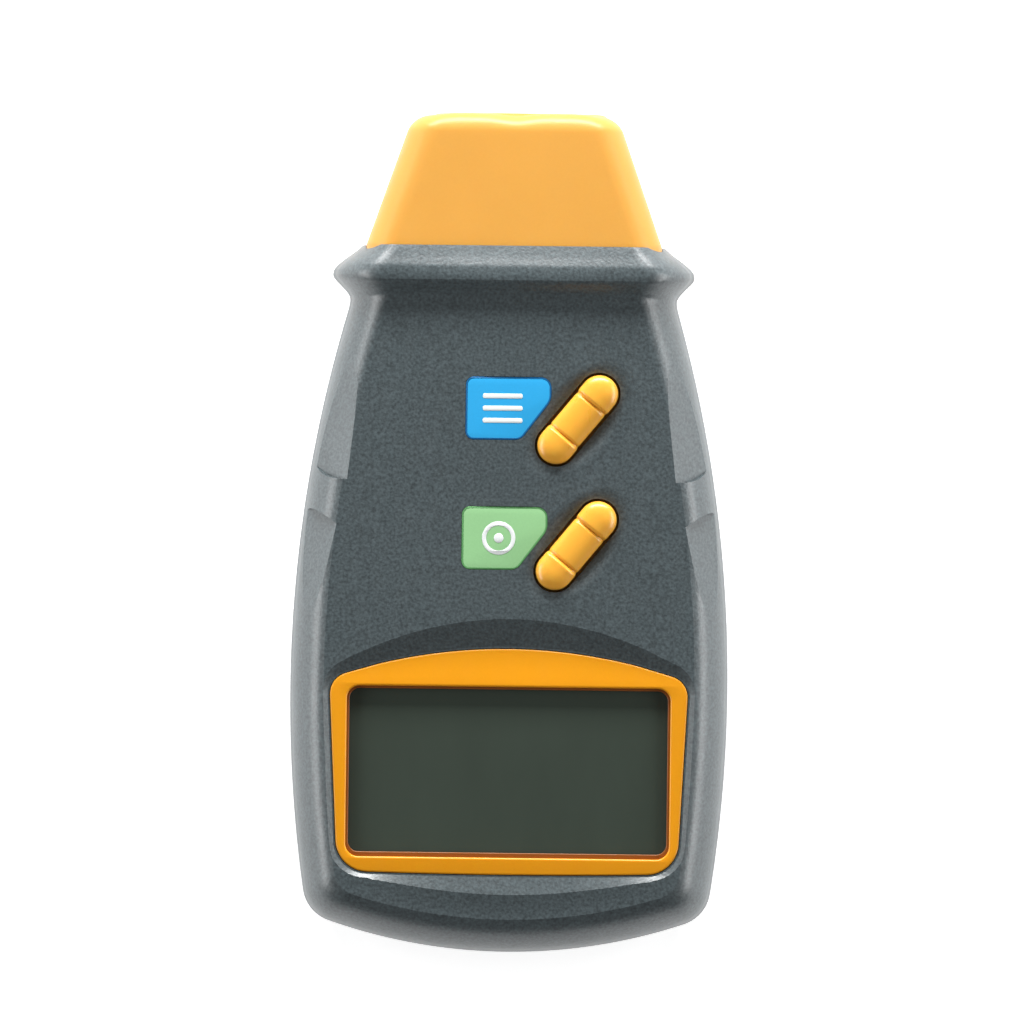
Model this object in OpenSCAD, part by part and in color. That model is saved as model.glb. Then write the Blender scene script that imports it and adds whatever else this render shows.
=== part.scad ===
// Handheld laser tachometer: a two-part moulded housing with a finger-stop collar, a tapered
// optics nose, a display set in a dished recess and two capsule keys. It lies on its rear face,
// with +Y towards the nose and +Z out of the display. Lengths are in millimetres.

/* [Overall] */
// Length from the tip of the nose to the tail
length = 131; // [127:0.5:135]
// Greatest width of the housing, across the display
body_w = 68.4; // [67.6:0.2:71]
// Width of the housing at the foot of the collar, from which each side bows out
neck_w = 51.4; // [50.6:0.1:52.2]
// Distance from the tail to the widest place
widest_from_tail = 41; // [39:0.5:43]
// Radius of the tail, seen from the front
tail_radius = 86; // [80:1:95]
// Radius of the two tail corners, seen from the front
corner_radius = 6; // [5:0.25:6.5]

/* [Housing] */
// Thickness of the moulded walls
wall = 2.2; // [1.8:0.1:2.4]
// Height of the parting line above the rear face
parting_z = 13.5; // [12.5:0.25:14]
// Width of the rounded shoulder beside the front face
shoulder_w = 5; // [4.6:0.1:5.4]
// Height of the side wall above the parting line, up to the shoulder
side_rise = 2.9; // [2:0.1:3.4]
// Width and height of the rounded edge round the rear face
rear_edge = 5; // [4.5:0.1:5.4]
// How much the front face is higher at its middle than at its edges
face_crown = 1; // [0.6:0.1:1.2]

/* [Collar] */
// How far the collar stands out from the sides
collar_reach = 3.9; // [3:0.1:4.5]
// How far the collar stands up from the front face
collar_rise = 2; // [1.6:0.1:2.6]
// Length of the straight slope from the collar's crest to the nose
collar_slope = 3.5; // [3.2:0.1:3.8]
// Length of the hollow slope from the collar's crest down to the body
collar_root = 5.6; // [5:0.1:6.5]

/* [Nose] */
// Length of the nose outside the collar
nose_len = 20.75; // [19.5:0.25:22]
// Width of the nose at the collar
nose_base_w = 46.1; // [45:0.1:46.6]
// Width that the nose tapers to at its tip
nose_tip_w = 32; // [31.4:0.2:34]
// Wall of the nose
nose_wall = 2; // [1.6:0.1:2.2]
// Distance between the axes of the laser port and the receiver port
port_gap = 14; // [13.8:0.1:14.4]
// Radius of the receiver lens
lens_r = 6.3; // [6:0.05:6.5]

/* [Display] */
// Width of the visible window
window_w = 50.4; // [49:0.2:50.8]
// Height of the visible window
window_h = 26.6; // [25.6:0.2:27]
// Distance from the tail to the middle of the window
window_from_tail = 28.25; // [27.8:0.05:28.6]
// Width of the bezel's side at its top corners
bezel_side_top = 2.5; // [2.2:0.1:2.8]
// Width of the bezel's side at its bottom corners
bezel_side_bottom = 1.3; // [1.1:0.1:1.6]
// Height of the bezel above the window, at its middle
bezel_brow = 5.95; // [5.4:0.05:6.5]
// Height of the bezel below the window
bezel_chin = 2.65; // [2.2:0.05:2.9]
// Thickness of the bezel
bezel_t = 1.3; // [1.1:0.05:1.6]
// Depth of the dished recess below the front face
recess_depth = 1.4; // [1.2:0.05:1.6]

/* [Keys] */
// Distance of the keys from the middle line
key_x = 10.2; // [9.8:0.1:11]
// Distance from the tail to the middle of the memory key
memory_from_tail = 83.3; // [82:0.1:84]
// Distance from the tail to the middle of the measure key
measure_from_tail = 63.7; // [63:0.1:65]
// Angle of the keys to the width
key_angle = 50.5; // [46:0.5:55]
// Length of a key
key_len = 16.3; // [15.5:0.1:17]
// Width of a key
key_w = 5.85; // [5.4:0.05:6.2]
// Travel of a key when it is pressed
key_travel = 0.5; // [0.3:0.05:0.55]

/* [Battery and board] */
// Thickness of the battery door
door_t = 1.6; // [1.4:0.1:2]
// Width of the battery door
door_w = 53.2; // [52.8:0.1:54]
// Length of the nine-volt battery with its terminals
battery_len = 48.5; // [47:0.1:48.8]
// Width of the battery
battery_w = 26.5; // [25.5:0.1:26.8]
// Thickness of the battery
battery_t = 16.8; // [15.5:0.1:17.5]
// Thickness of the main board
board_t = 1; // [0.8:0.1:1.6]
// Thickness of one glass of the display
glass_t = 1.1; // [0.7:0.1:1.3]

/* [Hidden] */

$fn = 48;
// One overrun serves every cut, and one small gap every glued or clipped joint
over = 1;
clip_gap = 0.1;
fit_gap = 0.15;

// Places along the length
tip_y = length / 2;
tail_y = -length / 2;
seam_y = tip_y - nose_len;
crest_len = 0.65;
crest_high_y = seam_y - collar_slope;
crest_low_y = crest_high_y - crest_len;
foot_y = crest_low_y - collar_root;
widest_y = tail_y + widest_from_tail;
window_y = tail_y + window_from_tail;
memory_y = tail_y + memory_from_tail;
measure_y = tail_y + measure_from_tail;
side_bow = (body_w - neck_w) / 2;
side_radius = (pow(foot_y - widest_y, 2) + pow(side_bow, 2)) / (2 * side_bow);

// The stack of pieces through the thickness, from the rear face up
door_sink = 0.1;
battery_play = 0.2;
film_gap = 0.1;
film_t = 0.2;
lcd_standoff = 0.6;
polariser_t = 0.2;
lcd_gap = 0.2;
window_t = 1;
bezel_proud = 0.1;
battery_z = door_sink + door_t + battery_play;
film_z = battery_z + battery_t + film_gap;
board_z = film_z + film_t;
board_top = board_z + board_t;
lcd_z = board_top + lcd_standoff;
rear_glass_z = lcd_z + polariser_t;
front_glass_z = rear_glass_z + glass_t;
polariser_z = front_glass_z + glass_t;
lcd_top = polariser_z + polariser_t;
window_z = lcd_top + lcd_gap;
bezel_z = window_z + window_t;
floor_z = bezel_z + bezel_t - bezel_proud;
face_z = floor_z + recess_depth;
body_t = face_z + collar_rise;
ledge_t = 0.8;
ceiling_z = bezel_z - ledge_t;
spring_z = parting_z + side_rise;
roof_z = face_z - face_crown - wall;

// Housing outline and shoulder
side_draft = 0.35;
corner_ease_share = 0.3;
shoulder_end_angle = 78;
tail_end_angle = -89.4;
slope_mid_share = 0.5;
root_shares = [0.85, 0.7, 0.55, 0.4, 0.22, 0];
collar_ys = concat(
    [seam_y, seam_y + (crest_high_y - seam_y) * slope_mid_share, crest_high_y],
    [crest_low_y],
    [for (s = root_shares) foot_y + (crest_low_y - foot_y) * s]
);
shoulder_steps = 6;
side_steps = 12;
corner_steps = 6;
tail_steps = 7;
crown_rows = 3;

// Seam of the nose: the collar's lip stands a little proud of the nose all round
collar_lip = 1;
nose_drop = 0.8;
nose_crown = 0.3;
nose_top = face_z - nose_drop;
nose_bottom = 3;
nose_tip_drop = 2;
nose_tip_lift = 1.6;
nose_round = 2.5;
nose_edge = 5;
nose_axis_z = (nose_top + nose_bottom) / 2;
nose_end_wall = 2.6;
nose_flange_t = 1.45;
nose_flange_w = 1.2;
hump = 0.45;

// Ports and optics
lens_x = port_gap / 2;
laser_x = -port_gap / 2;
port_share = 0.89;
port_r = port_share * lens_r;
port_rim_depth = 0.8;
rim_w = 1.3;
laser_port_r = 2;
laser_port_flare = 4.2;
laser_port_flare_depth = 1.4;

// Screws that join the two halves
upper_screw_x = 19.5;
upper_screw_in = 9.75;
tail_screw_x = 19.5;
tail_screw_in = 8.5;
screw_places = [
    [-upper_screw_x, seam_y - upper_screw_in], [upper_screw_x, seam_y - upper_screw_in],
    [-tail_screw_x, tail_y + tail_screw_in], [tail_screw_x, tail_y + tail_screw_in]
];
screw_r = 1.2;
screw_len = 10;
screw_head_r = 2.1;
screw_head_t = 1.4;
screw_seat_z = 9;
head_bore_r = 2.4;
boss_r = 3.4;
front_boss_r = 2.6;
pilot_r = 1.25;
shank_bore_r = 1.4;
boss_gap = 0.1;

function mix(a, b, t) = a + (b - a) * t;
function ramp(t) = let (u = max(0, min(1, t))) u * u * (3 - 2 * u);
function flip(points) = [for (i = [len(points) - 1 : -1 : 0]) points[i]];
function mirrored(points) = [for (p = points) [-p[0], p[1], p[2]]];

// How far the collar stands out at a place along the length, as a share of its crest
function root_share(y) = ramp((y - foot_y) / (crest_low_y - foot_y));
function slope_share(y) = max(0, (y - crest_high_y) / (seam_y - crest_high_y));

// Half width of the housing at a place along its sides, drawn in by an inset
function bow_x(y, inset) =
    body_w / 2 - side_radius + sqrt(pow(side_radius - inset, 2) - pow(y - widest_y, 2));
function collar_x(y) =
    mix(collar_reach * root_share(y),
        nose_base_w / 2 + collar_lip + side_draft - bow_x(seam_y, 0), slope_share(y));

// Height of the front face along its middle line, and of the rear face
function face_top(y) =
    mix(face_z + collar_rise * root_share(y), nose_top + collar_lip, slope_share(y));
function rear_top(y) = (nose_bottom - collar_lip) * slope_share(y);
function crown_at(y) = mix(face_crown, nose_crown, ramp((y - foot_y) / (seam_y - foot_y)));

// Centre of the arc that rounds a tail corner, at an inset, and its radius
side_centre = [body_w / 2 - side_radius, widest_y];
tail_centre = [0, tail_y + tail_radius];
function corner_r(inset) = corner_radius - corner_ease_share * inset;
function corner_centre(inset) =
    let (
        a = side_radius - inset - corner_r(inset),
        b = tail_radius - inset - corner_r(inset),
        v = tail_centre - side_centre,
        apart = norm(v),
        e = v / apart,
        along = (a * a - b * b + apart * apart) / (2 * apart),
        off = sqrt(a * a - along * along)
    )
    side_centre + e * along + [e[1], -e[0]] * off;
function direction(v) = atan2(v[1], v[0]);
function polar(r, a) = [r * cos(a), r * sin(a)];

// Right half of the housing's outline at an inset, from a head station to the tail.
// steps holds the number of points along the side, the corner and the tail.
function outline(inset, head_ys, collar, steps) =
    let (
        f = corner_centre(inset),
        a1 = direction(f - side_centre),
        a2 = direction(f - tail_centre),
        from_y = head_ys[len(head_ys) - 1],
        to_y = side_centre[1] + (side_radius - inset) * sin(a1)
    )
    concat(
        [for (y = head_ys) [bow_x(y, inset) + collar * collar_x(y), y]],
        [for (i = [1 : steps[0]])
            let (y = mix(from_y, to_y, i / steps[0])) [bow_x(y, inset) + collar * collar_x(y), y]],
        [for (i = [1 : steps[1]]) f + polar(corner_r(inset), mix(a1, a2, i / steps[1]))],
        [for (i = [1 : steps[2]])
            tail_centre + polar(tail_radius - inset, mix(a2, tail_end_angle, i / steps[2]))]
    );

// Rounded shoulder: how far in, and how far up, as shares of its width and height
function shoulder_in_share(a) = (1 - cos(a)) / (1 - cos(shoulder_end_angle));
function shoulder_up_share(a) = sin(a) / sin(shoulder_end_angle);

// Cross-sections of one half of the housing, from its head to its tail. Each ring is
// [inset, height where it starts, share of the way from there to the edge height].
function half_sections(rings, edge_z, crown, head_ys, collar, steps, rows) =
    let (outlines = [for (r = rings) outline(r[0], head_ys, collar, steps)])
    [for (i = [0 : len(outlines[0]) - 1])
        let (
            e = outlines[len(rings) - 1][i],
            side = [for (j = [0 : len(rings) - 1])
                let (p = outlines[j][i], r = rings[j])
                [p[0], p[1], mix(r[1], edge_z(p[1]), r[2])]],
            row = [for (k = [1 : 1 : rows])
                let (s = 1 - k / (rows + 0.5))
                [e[0] * s, e[1], edge_z(e[1]) + crown(e[1]) * (1 - s * s)]],
            right = concat(side, row)
        )
        concat(mirrored(right), flip(right))];

// A closed solid through sections that each list their points in mirrored pairs
module skin(sections) {
    m = len(sections[0]);
    n = len(sections);
    sides = [for (i = [0 : n - 2]) for (k = [0 : m - 1])
        let (a = i * m + k, b = i * m + (k + 1) % m) each [[a, b, b + m], [a, b + m, a + m]]];
    first = [for (k = [0 : m / 2 - 2]) each [[k, m - 1 - k, m - 2 - k], [k, m - 2 - k, k + 1]]];
    last = [for (f = first) [for (v = [2, 1, 0]) f[v] + (n - 1) * m]];
    polyhedron([for (s = sections) each s], concat(sides, first, last));
}

full_steps = [side_steps, corner_steps, tail_steps];
inner_steps = [8, 4, 5];

// A fillet at b, between the directions to a and c
function fillet(a, b, c, r, n) =
    let (
        u = (a - b) / norm(a - b),
        v = (c - b) / norm(c - b),
        half = acos(u * v) / 2,
        m = b + (u + v) / norm(u + v) * r / sin(half),
        from = direction(b + u * r / tan(half) - m),
        to = direction(b + v * r / tan(half) - m),
        sweep = (to - from + 540) % 360 - 180
    )
    [for (i = [0 : n]) m + polar(r, from + sweep * i / n)];

// Rounded rectangle about the origin
function rounded_box(w, h, r, n = 5) =
    [for (q = [0 : 3])
        let (c = [(q == 0 || q == 3 ? 1 : -1) * (w / 2 - r), (q < 2 ? 1 : -1) * (h / 2 - r)])
        for (i = [0 : n]) c + polar(r, 90 * (q + i / n))];

// Outline with a bowed top and bottom and straight sides, given from its top middle down one
// side to its bottom middle, then mirrored
function shield(top, bottom, half_top, half_bottom, bow_top, bow_bottom, r_top, r_bottom) =
    let (
        b = [half_top, top - pow(half_top, 2) / (2 * bow_top)],
        c = [half_bottom, bottom + pow(half_bottom, 2) / (2 * bow_bottom)],
        brow = [for (s = [0.03, 0.25, 0.5, 0.7])
            [half_top * s, top - pow(half_top * s, 2) / (2 * bow_top)]],
        chin = [for (s = [0.7, 0.5, 0.25, 0.03])
            [half_bottom * s, bottom + pow(half_bottom * s, 2) / (2 * bow_bottom)]]
    )
    concat(brow, fillet(brow[3], b, c, r_top, 5), fillet(b, c, chin[0], r_bottom, 5), chin);
function closed(half) = concat([for (p = half) [-p[0], p[1]]], flip(half));
function at_height(points, z) = [for (p = points) [p[0], p[1], z]];

module plate(points, z, t) {
    translate([0, 0, z])
    linear_extrude(t)
    polygon(points);
}

// Display outlines
bezel_top = window_y + window_h / 2 + bezel_brow;
bezel_bottom = window_y - window_h / 2 - bezel_chin;
bezel_half_top = window_w / 2 + bezel_side_top;
bezel_half_bottom = window_w / 2 + bezel_side_bottom;
brow_bow = 82;
chin_bow = 900;
bezel_corner_top = 3.4;
bezel_corner_bottom = 5;
recess_margin = 0.35;
recess_top_reach = 4.65;
recess_side_reach = 3.2;
recess_bottom_reach = 5.1;
recess_brow_bow = 78;
recess_chin_bow = 76;
recess_corner_top = 5;
recess_corner_bottom = 10;
pane_margin = 0.6;
window_corner = 2;
seat_w = 1.65;
seat_drop = 0.5;

function bezel_outline(grow) =
    shield(bezel_top + grow, bezel_bottom - grow, bezel_half_top + grow, bezel_half_bottom + grow,
        brow_bow, chin_bow, bezel_corner_top + grow, bezel_corner_bottom + grow);
function recess_outline() =
    shield(bezel_top + recess_top_reach, bezel_bottom - recess_bottom_reach,
        bezel_half_top + recess_side_reach, bezel_half_bottom + recess_side_reach,
        recess_brow_bow, recess_chin_bow, recess_corner_top, recess_corner_bottom);

module at_window() {
    translate([0, window_y, 0])
    children();
}

// Sections of the nose: the right half from its bottom up to the middle of its top
function nose_share(y) = max(0, (y - seam_y) / (tip_y - hump - seam_y));
function nose_half(y, grow) =
    let (
        w = mix(nose_base_w, nose_tip_w, nose_share(y)) / 2 + grow,
        high = nose_top - nose_tip_drop * nose_share(y) + grow,
        low = nose_bottom + nose_tip_lift * nose_share(y) - grow,
        r = nose_edge + grow,
        under = [for (i = [0 : 4]) [w - r, low + r] + polar(r, 90 * (i / 4 - 1))],
        upper = [for (i = [0 : 4]) [w - r, high - r] + polar(r, 90 * i / 4)],
        crown = [for (s = [0.6, 0.2]) [(w - r) * s, high + nose_crown * (1 - s * s)]]
    )
    concat(under, upper, crown);
function nose_ring(y, grow) = at_depth(closed(nose_half(y, grow)), y);
function at_depth(points, y) = [for (p = points) [p[0], y, p[1]]];

nose_face_y = tip_y - hump;
nose_in_y = nose_face_y - nose_end_wall;
mouth_depth = 3;
flange_y = seam_y - mouth_depth - clip_gap;
nose_low_y = flange_y - nose_flange_t;
groove_low_y = nose_low_y - clip_gap;

module nose_prism(grow, high_y, low_y) {
    translate([0, high_y, 0])
    rotate([90, 0, 0])
    linear_extrude(high_y - low_y)
    polygon(closed(nose_half(seam_y, grow)));
}

// A round piece along the length, from a far place back to a near one
module along_y(x, z, high_y, low_y, r, r_low = undef) {
    translate([x, high_y, z])
    rotate([90, 0, 0])
    cylinder(h = high_y - low_y, r1 = r, r2 = r_low == undef ? r : r_low);
}

module post(p, z, h, r) {
    translate([p[0], p[1], z])
    cylinder(h = h, r = r);
}

// The main board narrows towards the nose, where its tongue runs in between the two bosses
board_from_tail = 11.4;
board_side_gap = 6.4;
board_step_gap = 30;
board_neck_gap = 6;
board_neck_in = 3.7;
board_tongue_in = 11.2;
board_end_gap = 1.7;
board_tail_y = tail_y + board_from_tail;
board_step_y = foot_y - board_step_gap;
board_neck_y = foot_y - board_neck_gap;
board_end_y = nose_low_y - board_end_gap;
board_half = body_w / 2 - board_side_gap;
board_tail_half = board_half - clip_gap;
board_neck_half = neck_w / 2 - board_neck_in;
board_tongue_half = neck_w / 2 - board_tongue_in;
board_outline = [
    [board_tail_half, board_tail_y], [board_half, board_tail_y + corner_radius],
    [board_half, board_step_y], [board_neck_half, board_neck_y],
    [board_tongue_half, board_neck_y + clip_gap], [board_tongue_half, board_end_y]
];
board_screw_in = 3.8;
board_screw_neck_in = 5.2;
board_screw_gap = 6;
board_screw_step = 20;
board_screw_low = [board_half - board_screw_in, board_step_y - board_screw_step];
board_screw_high = [neck_w / 2 - board_screw_neck_in, board_neck_y - board_screw_gap];
board_screw_places = [for (p = [board_screw_low, board_screw_high])
    for (side = [-1, 1]) [p[0] * side, p[1]]];
board_screw_r = 0.9;
board_hole_r = 1.1;
board_boss_r = 2.3;
board_screw_head_r = 1.8;
board_screw_head_t = 0.9;
board_screw_len = 4.2;

// Battery bay and its door, which swings on its outer edge nearest the nose, with a scoop for
// the nail at the other edge and grooves for the thumb
battery_y = window_y;
bay_gap = 0.3;
hook_room = 3.6;
door_ledge = 1.2;
bay_wall_t = 1.4;
bay_h = 12;
door_head_y = battery_y + battery_w / 2 + hook_room;
bay_tail_y = battery_y - battery_w / 2 - bay_gap;
door_tail_y = bay_tail_y - door_ledge;
door_len = door_head_y - door_tail_y;
bay_half = door_w / 2 - door_ledge;
hook_x = 16;
hook_w = 8;
hook_t = 1;
hook_reach = 1.6;
hook_neck_t = 1.25;
hook_end_gap = 0.6;
hook_wall_y = door_head_y + hook_reach + hook_end_gap;
stop_half = 7;
stop_z = 4;
nail_r = 9;
nail_depth = 1.1;
thumb_ribs = 5;
thumb_w = 16;
thumb_in = 2.4;
thumb_pitch = 1.5;
thumb_depth = 0.5;

// Keys
key_rise = 1.2;
key_dome_share = 0.62;
key_dome_r = key_w * key_dome_share;
key_gap = 0.4;
key_flange_w = 0.9;
key_flange_t = 0.8;
key_flange_share = 0.85;
key_flange_top = face_z - wall - key_flange_share * face_crown;
key_groove_gap = 6.7;
key_groove_w = 0.45;
key_groove_depth = 0.35;
key_stem_r = 2;
dish_half_len = 8.9;
dish_half_w = 5.2;
dish_depth = 0.8;
dish_floor_shares = [[1.12, 1.4], [0.93, 0.55], [0.66, 0]];

// Switches under the keys
switch_w = 6;
switch_t = 2.2;
plunger_r = 1.6;
plunger_gap = 0.1;
stem_len = 0.4;
plunger_top = key_flange_top - key_flange_t - stem_len;
plunger_sink = 1.2;

// Label patches beside the keys
label_w = 13.3;
label_h = 9.8;
label_t = 0.3;
label_sink = 0.09;
label_x = -0.85;
label_lift = 1.4;
label_slant = 3.4;
label_corner_share = 0.14;
label_z = face_z - label_sink - label_t;

// Finger grips: in each shoulder two flat cuts run out to a point, away from a plain ridge.
// Each holds its place at the ridge, its turn in plan, its tilt, its length and its direction.
grip_z = 21.5;
grip_upper = [30, 9, 9, 40, 17, 1];
grip_lower = [31.2, 2.4, 6, 40, 14, -1];

function label_outline(grow) =
    let (
        w = label_w / 2 + grow, h = label_h / 2 + grow,
        a = [-w, h], b = [w, h], c = [w - label_slant, -h], d = [-w, -h], r = label_h * label_corner_share
    )
    concat(fillet(d, a, b, r, 4), fillet(a, b, c, 2 * r, 5), fillet(b, c, d, r, 4), fillet(c, d, a, r, 4));

module at_key(y) {
    translate([key_x, y, 0])
    rotate([0, 0, key_angle - 90])
    children();
}

module front_outer() {
    rings = concat(
        [[0, parting_z, 0], [side_draft, spring_z, 0]],
        [for (i = [1 : shoulder_steps])
            let (a = shoulder_end_angle * i / shoulder_steps)
            [side_draft + shoulder_w * shoulder_in_share(a), spring_z, shoulder_up_share(a)]]
    );
    skin(half_sections(rings, function (y) face_top(y) - crown_at(y), function (y) crown_at(y),
        collar_ys, 1, full_steps, crown_rows));
}

module front_cavity() {
    rings = concat(
        [[wall, parting_z - over, 0], [wall + side_draft, spring_z, 0]],
        [for (a = [30, 55, shoulder_end_angle])
            [wall + side_draft + shoulder_w * shoulder_in_share(a), spring_z, shoulder_up_share(a)]]
    );
    skin(half_sections(rings, function (y) face_z - face_crown - wall,
        function (y) face_crown, [groove_low_y + clip_gap / 2, foot_y], 0, inner_steps, 1));
}

module rear_outer() {
    rings = concat(
        [[0, parting_z, 0], [side_draft, rear_edge, 0]],
        [for (a = [22.5, 45, 67.5, 90])
            [side_draft + rear_edge * (1 - cos(a)), rear_edge, sin(a)]]
    );
    skin(flip(half_sections(rings, function (y) rear_top(y), function (y) 0,
        collar_ys, 1, full_steps, 0)));
}

module rear_cavity() {
    rings = concat(
        [[wall, parting_z + over, 0], [wall + side_draft, rear_edge, 0]],
        [for (a = [30, 60, 90])
            [wall + side_draft + (rear_edge - wall) * (1 - cos(a)), rear_edge, sin(a)]]
    );
    skin(flip(half_sections(rings, function (y) wall, function (y) 0,
        [groove_low_y + clip_gap / 2, foot_y], 0, inner_steps, 0)));
}

// The nose's mouth and the groove that holds its flange, cut from both halves
module nose_seat() {
    nose_prism(clip_gap, seam_y + over, seam_y - mouth_depth - clip_gap);
    nose_prism(nose_flange_w + clip_gap, seam_y - mouth_depth, groove_low_y);
}

module grip_cut(g) {
    for (side = [0, 1])
        mirror([side, 0, 0])
        translate([g[0], g[1], grip_z])
        rotate([0, -g[3], g[2]])
        translate([0, g[5] > 0 ? 0 : -g[4], -shoulder_w])
        cube([shoulder_w, g[4], 3 * shoulder_w]);
}

module key_opening(y) {
    at_key(y) {
        plate(rounded_box(key_w + 2 * key_gap, key_len + 2 * key_gap, key_w / 2 + key_gap),
            ceiling_z, collar_rise + face_z - ceiling_z);
        skin([for (s = dish_floor_shares)
            at_height([for (i = [0 : 23])
                let (a = 90 + 7.5 + i * 15)
                [dish_half_w * s[0] * cos(a), dish_half_len * s[0] * sin(a)]],
                face_z - dish_depth + dish_depth * s[1])]);
    }
}

// The bosses end inside the roof, and lower down where the tail's shoulder falls away
function boss_top(p) = roof_z + (p[1] < bezel_bottom ? clip_gap : wall / 2);

module front_housing() {
    color("#5b656a")
    difference() {
        union() {
            difference() {
                front_outer();
                front_cavity();
            }
            plate(closed(bezel_outline(seat_w)), ceiling_z, floor_z - ceiling_z - seat_drop);
            for (p = screw_places)
                post(p, parting_z + boss_gap, boss_top(p) - parting_z - boss_gap, front_boss_r);
            for (p = board_screw_places)
                post(p, board_top, boss_top(p) - board_top, board_boss_r);
        }
        nose_seat();
        skin([
            at_height(closed(recess_outline()), face_z + over),
            at_height(closed(recess_outline()), face_z),
            at_height(closed(bezel_outline(recess_margin)), floor_z)
        ]);
        grip_cut(grip_upper);
        grip_cut(grip_lower);
        plate(closed(bezel_outline(clip_gap)), bezel_z, over + bezel_t);
        at_window()
        plate(rounded_box(window_w + 2 * (pane_margin + fit_gap), window_h + 2 * (pane_margin + fit_gap),
            window_corner), ceiling_z - over, bezel_z - ceiling_z + 2 * over);
        for (y = [memory_y, measure_y])
            key_opening(y);
        for (y = [memory_y, measure_y])
            translate([label_x, y + label_lift, 0])
            plate(label_outline(clip_gap), label_z, over);
        for (p = screw_places)
            post(p, parting_z - over, screw_seat_z + screw_len - parting_z + 2 * over, pilot_r);
        for (p = board_screw_places)
            post(p, board_top - over, board_screw_len + over, board_screw_r);
    }
}

module rear_housing() {
    color("#5b656a")
    difference() {
        union() {
            difference() {
                rear_outer();
                rear_cavity();
            }
            for (p = screw_places)
                post(p, wall / 2, parting_z - wall / 2, boss_r);
            bay_walls();
        }
        nose_seat();
        translate([-door_w / 2 - fit_gap, door_tail_y - fit_gap, -over])
        cube([door_w + 2 * fit_gap, door_len + 2 * fit_gap, over + door_sink + door_t + clip_gap]);
        translate([-bay_half, bay_tail_y, -over])
        cube([2 * bay_half, door_head_y + fit_gap - bay_tail_y, over + 2 * wall]);
        translate([0, door_tail_y - over, -nail_r + nail_depth])
        sphere(r = nail_r);
        for (p = screw_places) {
            post(p, -over, over + screw_seat_z, head_bore_r);
            post(p, 0, parting_z + over, shank_bore_r);
        }
    }
}
module bay_walls() {
    difference() {
        translate([-bay_half - bay_wall_t, bay_tail_y - bay_wall_t, wall / 2])
        cube([2 * (bay_half + bay_wall_t), hook_wall_y - bay_tail_y + 2 * bay_wall_t, bay_h - wall / 2]);
        translate([-bay_half, bay_tail_y, -over])
        cube([2 * bay_half, hook_wall_y - bay_tail_y, bay_h + 2 * over]);
    }
    for (side = [-1, 1])
        translate([side * (stop_half - bay_wall_t / 2) - bay_wall_t / 2,
            battery_y + battery_w / 2 + bay_gap, stop_z])
        cube([bay_wall_t, hook_wall_y - battery_y - battery_w / 2 - bay_gap + over, bay_h - stop_z]);
}
module battery_door() {
    color("#535d62")
    difference() {
        union() {
            translate([-door_w / 2, door_tail_y, door_sink])
            cube([door_w, door_len, door_t]);
            for (side = [-1, 1])
                translate([side * hook_x - hook_w / 2, door_head_y - hook_neck_t, door_sink]) {
                    cube([hook_w, hook_neck_t, wall + clip_gap + hook_t]);
                    translate([0, 0, wall + clip_gap])
                    cube([hook_w, hook_neck_t + hook_reach, hook_t]);
                }
        }
        for (i = [0 : thumb_ribs - 1])
            translate([-thumb_w / 2, door_tail_y + thumb_in + i * thumb_pitch, -over])
            cube([thumb_w, thumb_pitch / 2, over + door_sink + thumb_depth]);
    }
}
module nose_hood() {
    color("#f5c45a")
    difference() {
        union() {
            skin(concat(
                [for (a = [90, 62, 40, 20, 0])
                    nose_ring(nose_face_y - nose_round * (1 - sin(a)), -nose_round * (1 - cos(a)))],
                [nose_ring(mix(seam_y, nose_face_y, 0.5), 0), nose_ring(seam_y - clip_gap, 0)]
            ));
            nose_prism(0, seam_y, nose_low_y);
            nose_prism(nose_flange_w, flange_y, nose_low_y);
            along_y(lens_x, nose_axis_z, tip_y, nose_face_y - clip_gap, port_r + rim_w,
                port_r + rim_w + hump);
            along_y(laser_x, nose_axis_z, tip_y, nose_face_y - clip_gap, laser_port_flare + rim_w,
                laser_port_flare + rim_w + hump);
        }
        skin([nose_ring(nose_in_y, -nose_wall), nose_ring(seam_y, -nose_wall)]);
        nose_prism(-nose_wall, seam_y + clip_gap, nose_low_y - over);
        along_y(lens_x, nose_axis_z, tip_y + over, nose_in_y - over, port_r);
        along_y(lens_x, nose_axis_z, tip_y + clip_gap, tip_y - port_rim_depth,
            port_r + port_rim_depth, port_r);
        along_y(laser_x, nose_axis_z, tip_y + over, nose_in_y - over, laser_port_r);
        along_y(laser_x, nose_axis_z, tip_y + clip_gap, tip_y - laser_port_flare_depth,
            laser_port_flare, laser_port_r);
    }
}
module display_bezel() {
    color("#ef9d22")
    difference() {
        plate(closed(bezel_outline(0)), bezel_z, bezel_t);
        at_window()
        plate(rounded_box(window_w, window_h, window_corner), bezel_z - over, bezel_t + 2 * over);
    }
}

module display_window() {
    color("#3c4640", 0.5)
    at_window()
    plate(rounded_box(window_w + 2 * pane_margin, window_h + 2 * pane_margin, window_corner),
        window_z, window_t);
}

// The liquid crystal panel, from its holder out: reflector, two glasses and a polariser
glass_side = 1;
glass_end = 2;
glass_w = window_w + 2 * glass_side;
glass_h = window_h + 2 * glass_end;
glass_edge = 2.4;
strip_share = 0.8;
holder_wall = 1.1;

module lcd_slab(w, h, z, t) {
    translate([-w / 2, window_y - h / 2, z])
    cube([w, h, t]);
}

module lcd_front_polariser() {
    color("#5a655c", 0.7)
    lcd_slab(glass_w - glass_edge, glass_h - 3 * glass_edge, polariser_z, polariser_t);
}

module lcd_front_glass() {
    color("#c8d4ce", 0.6)
    lcd_slab(glass_w, glass_h - 2 * glass_edge, front_glass_z, glass_t);
}

module lcd_rear_glass() {
    color("#b8c4be", 0.6)
    lcd_slab(glass_w, glass_h, rear_glass_z, glass_t);
}

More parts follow.
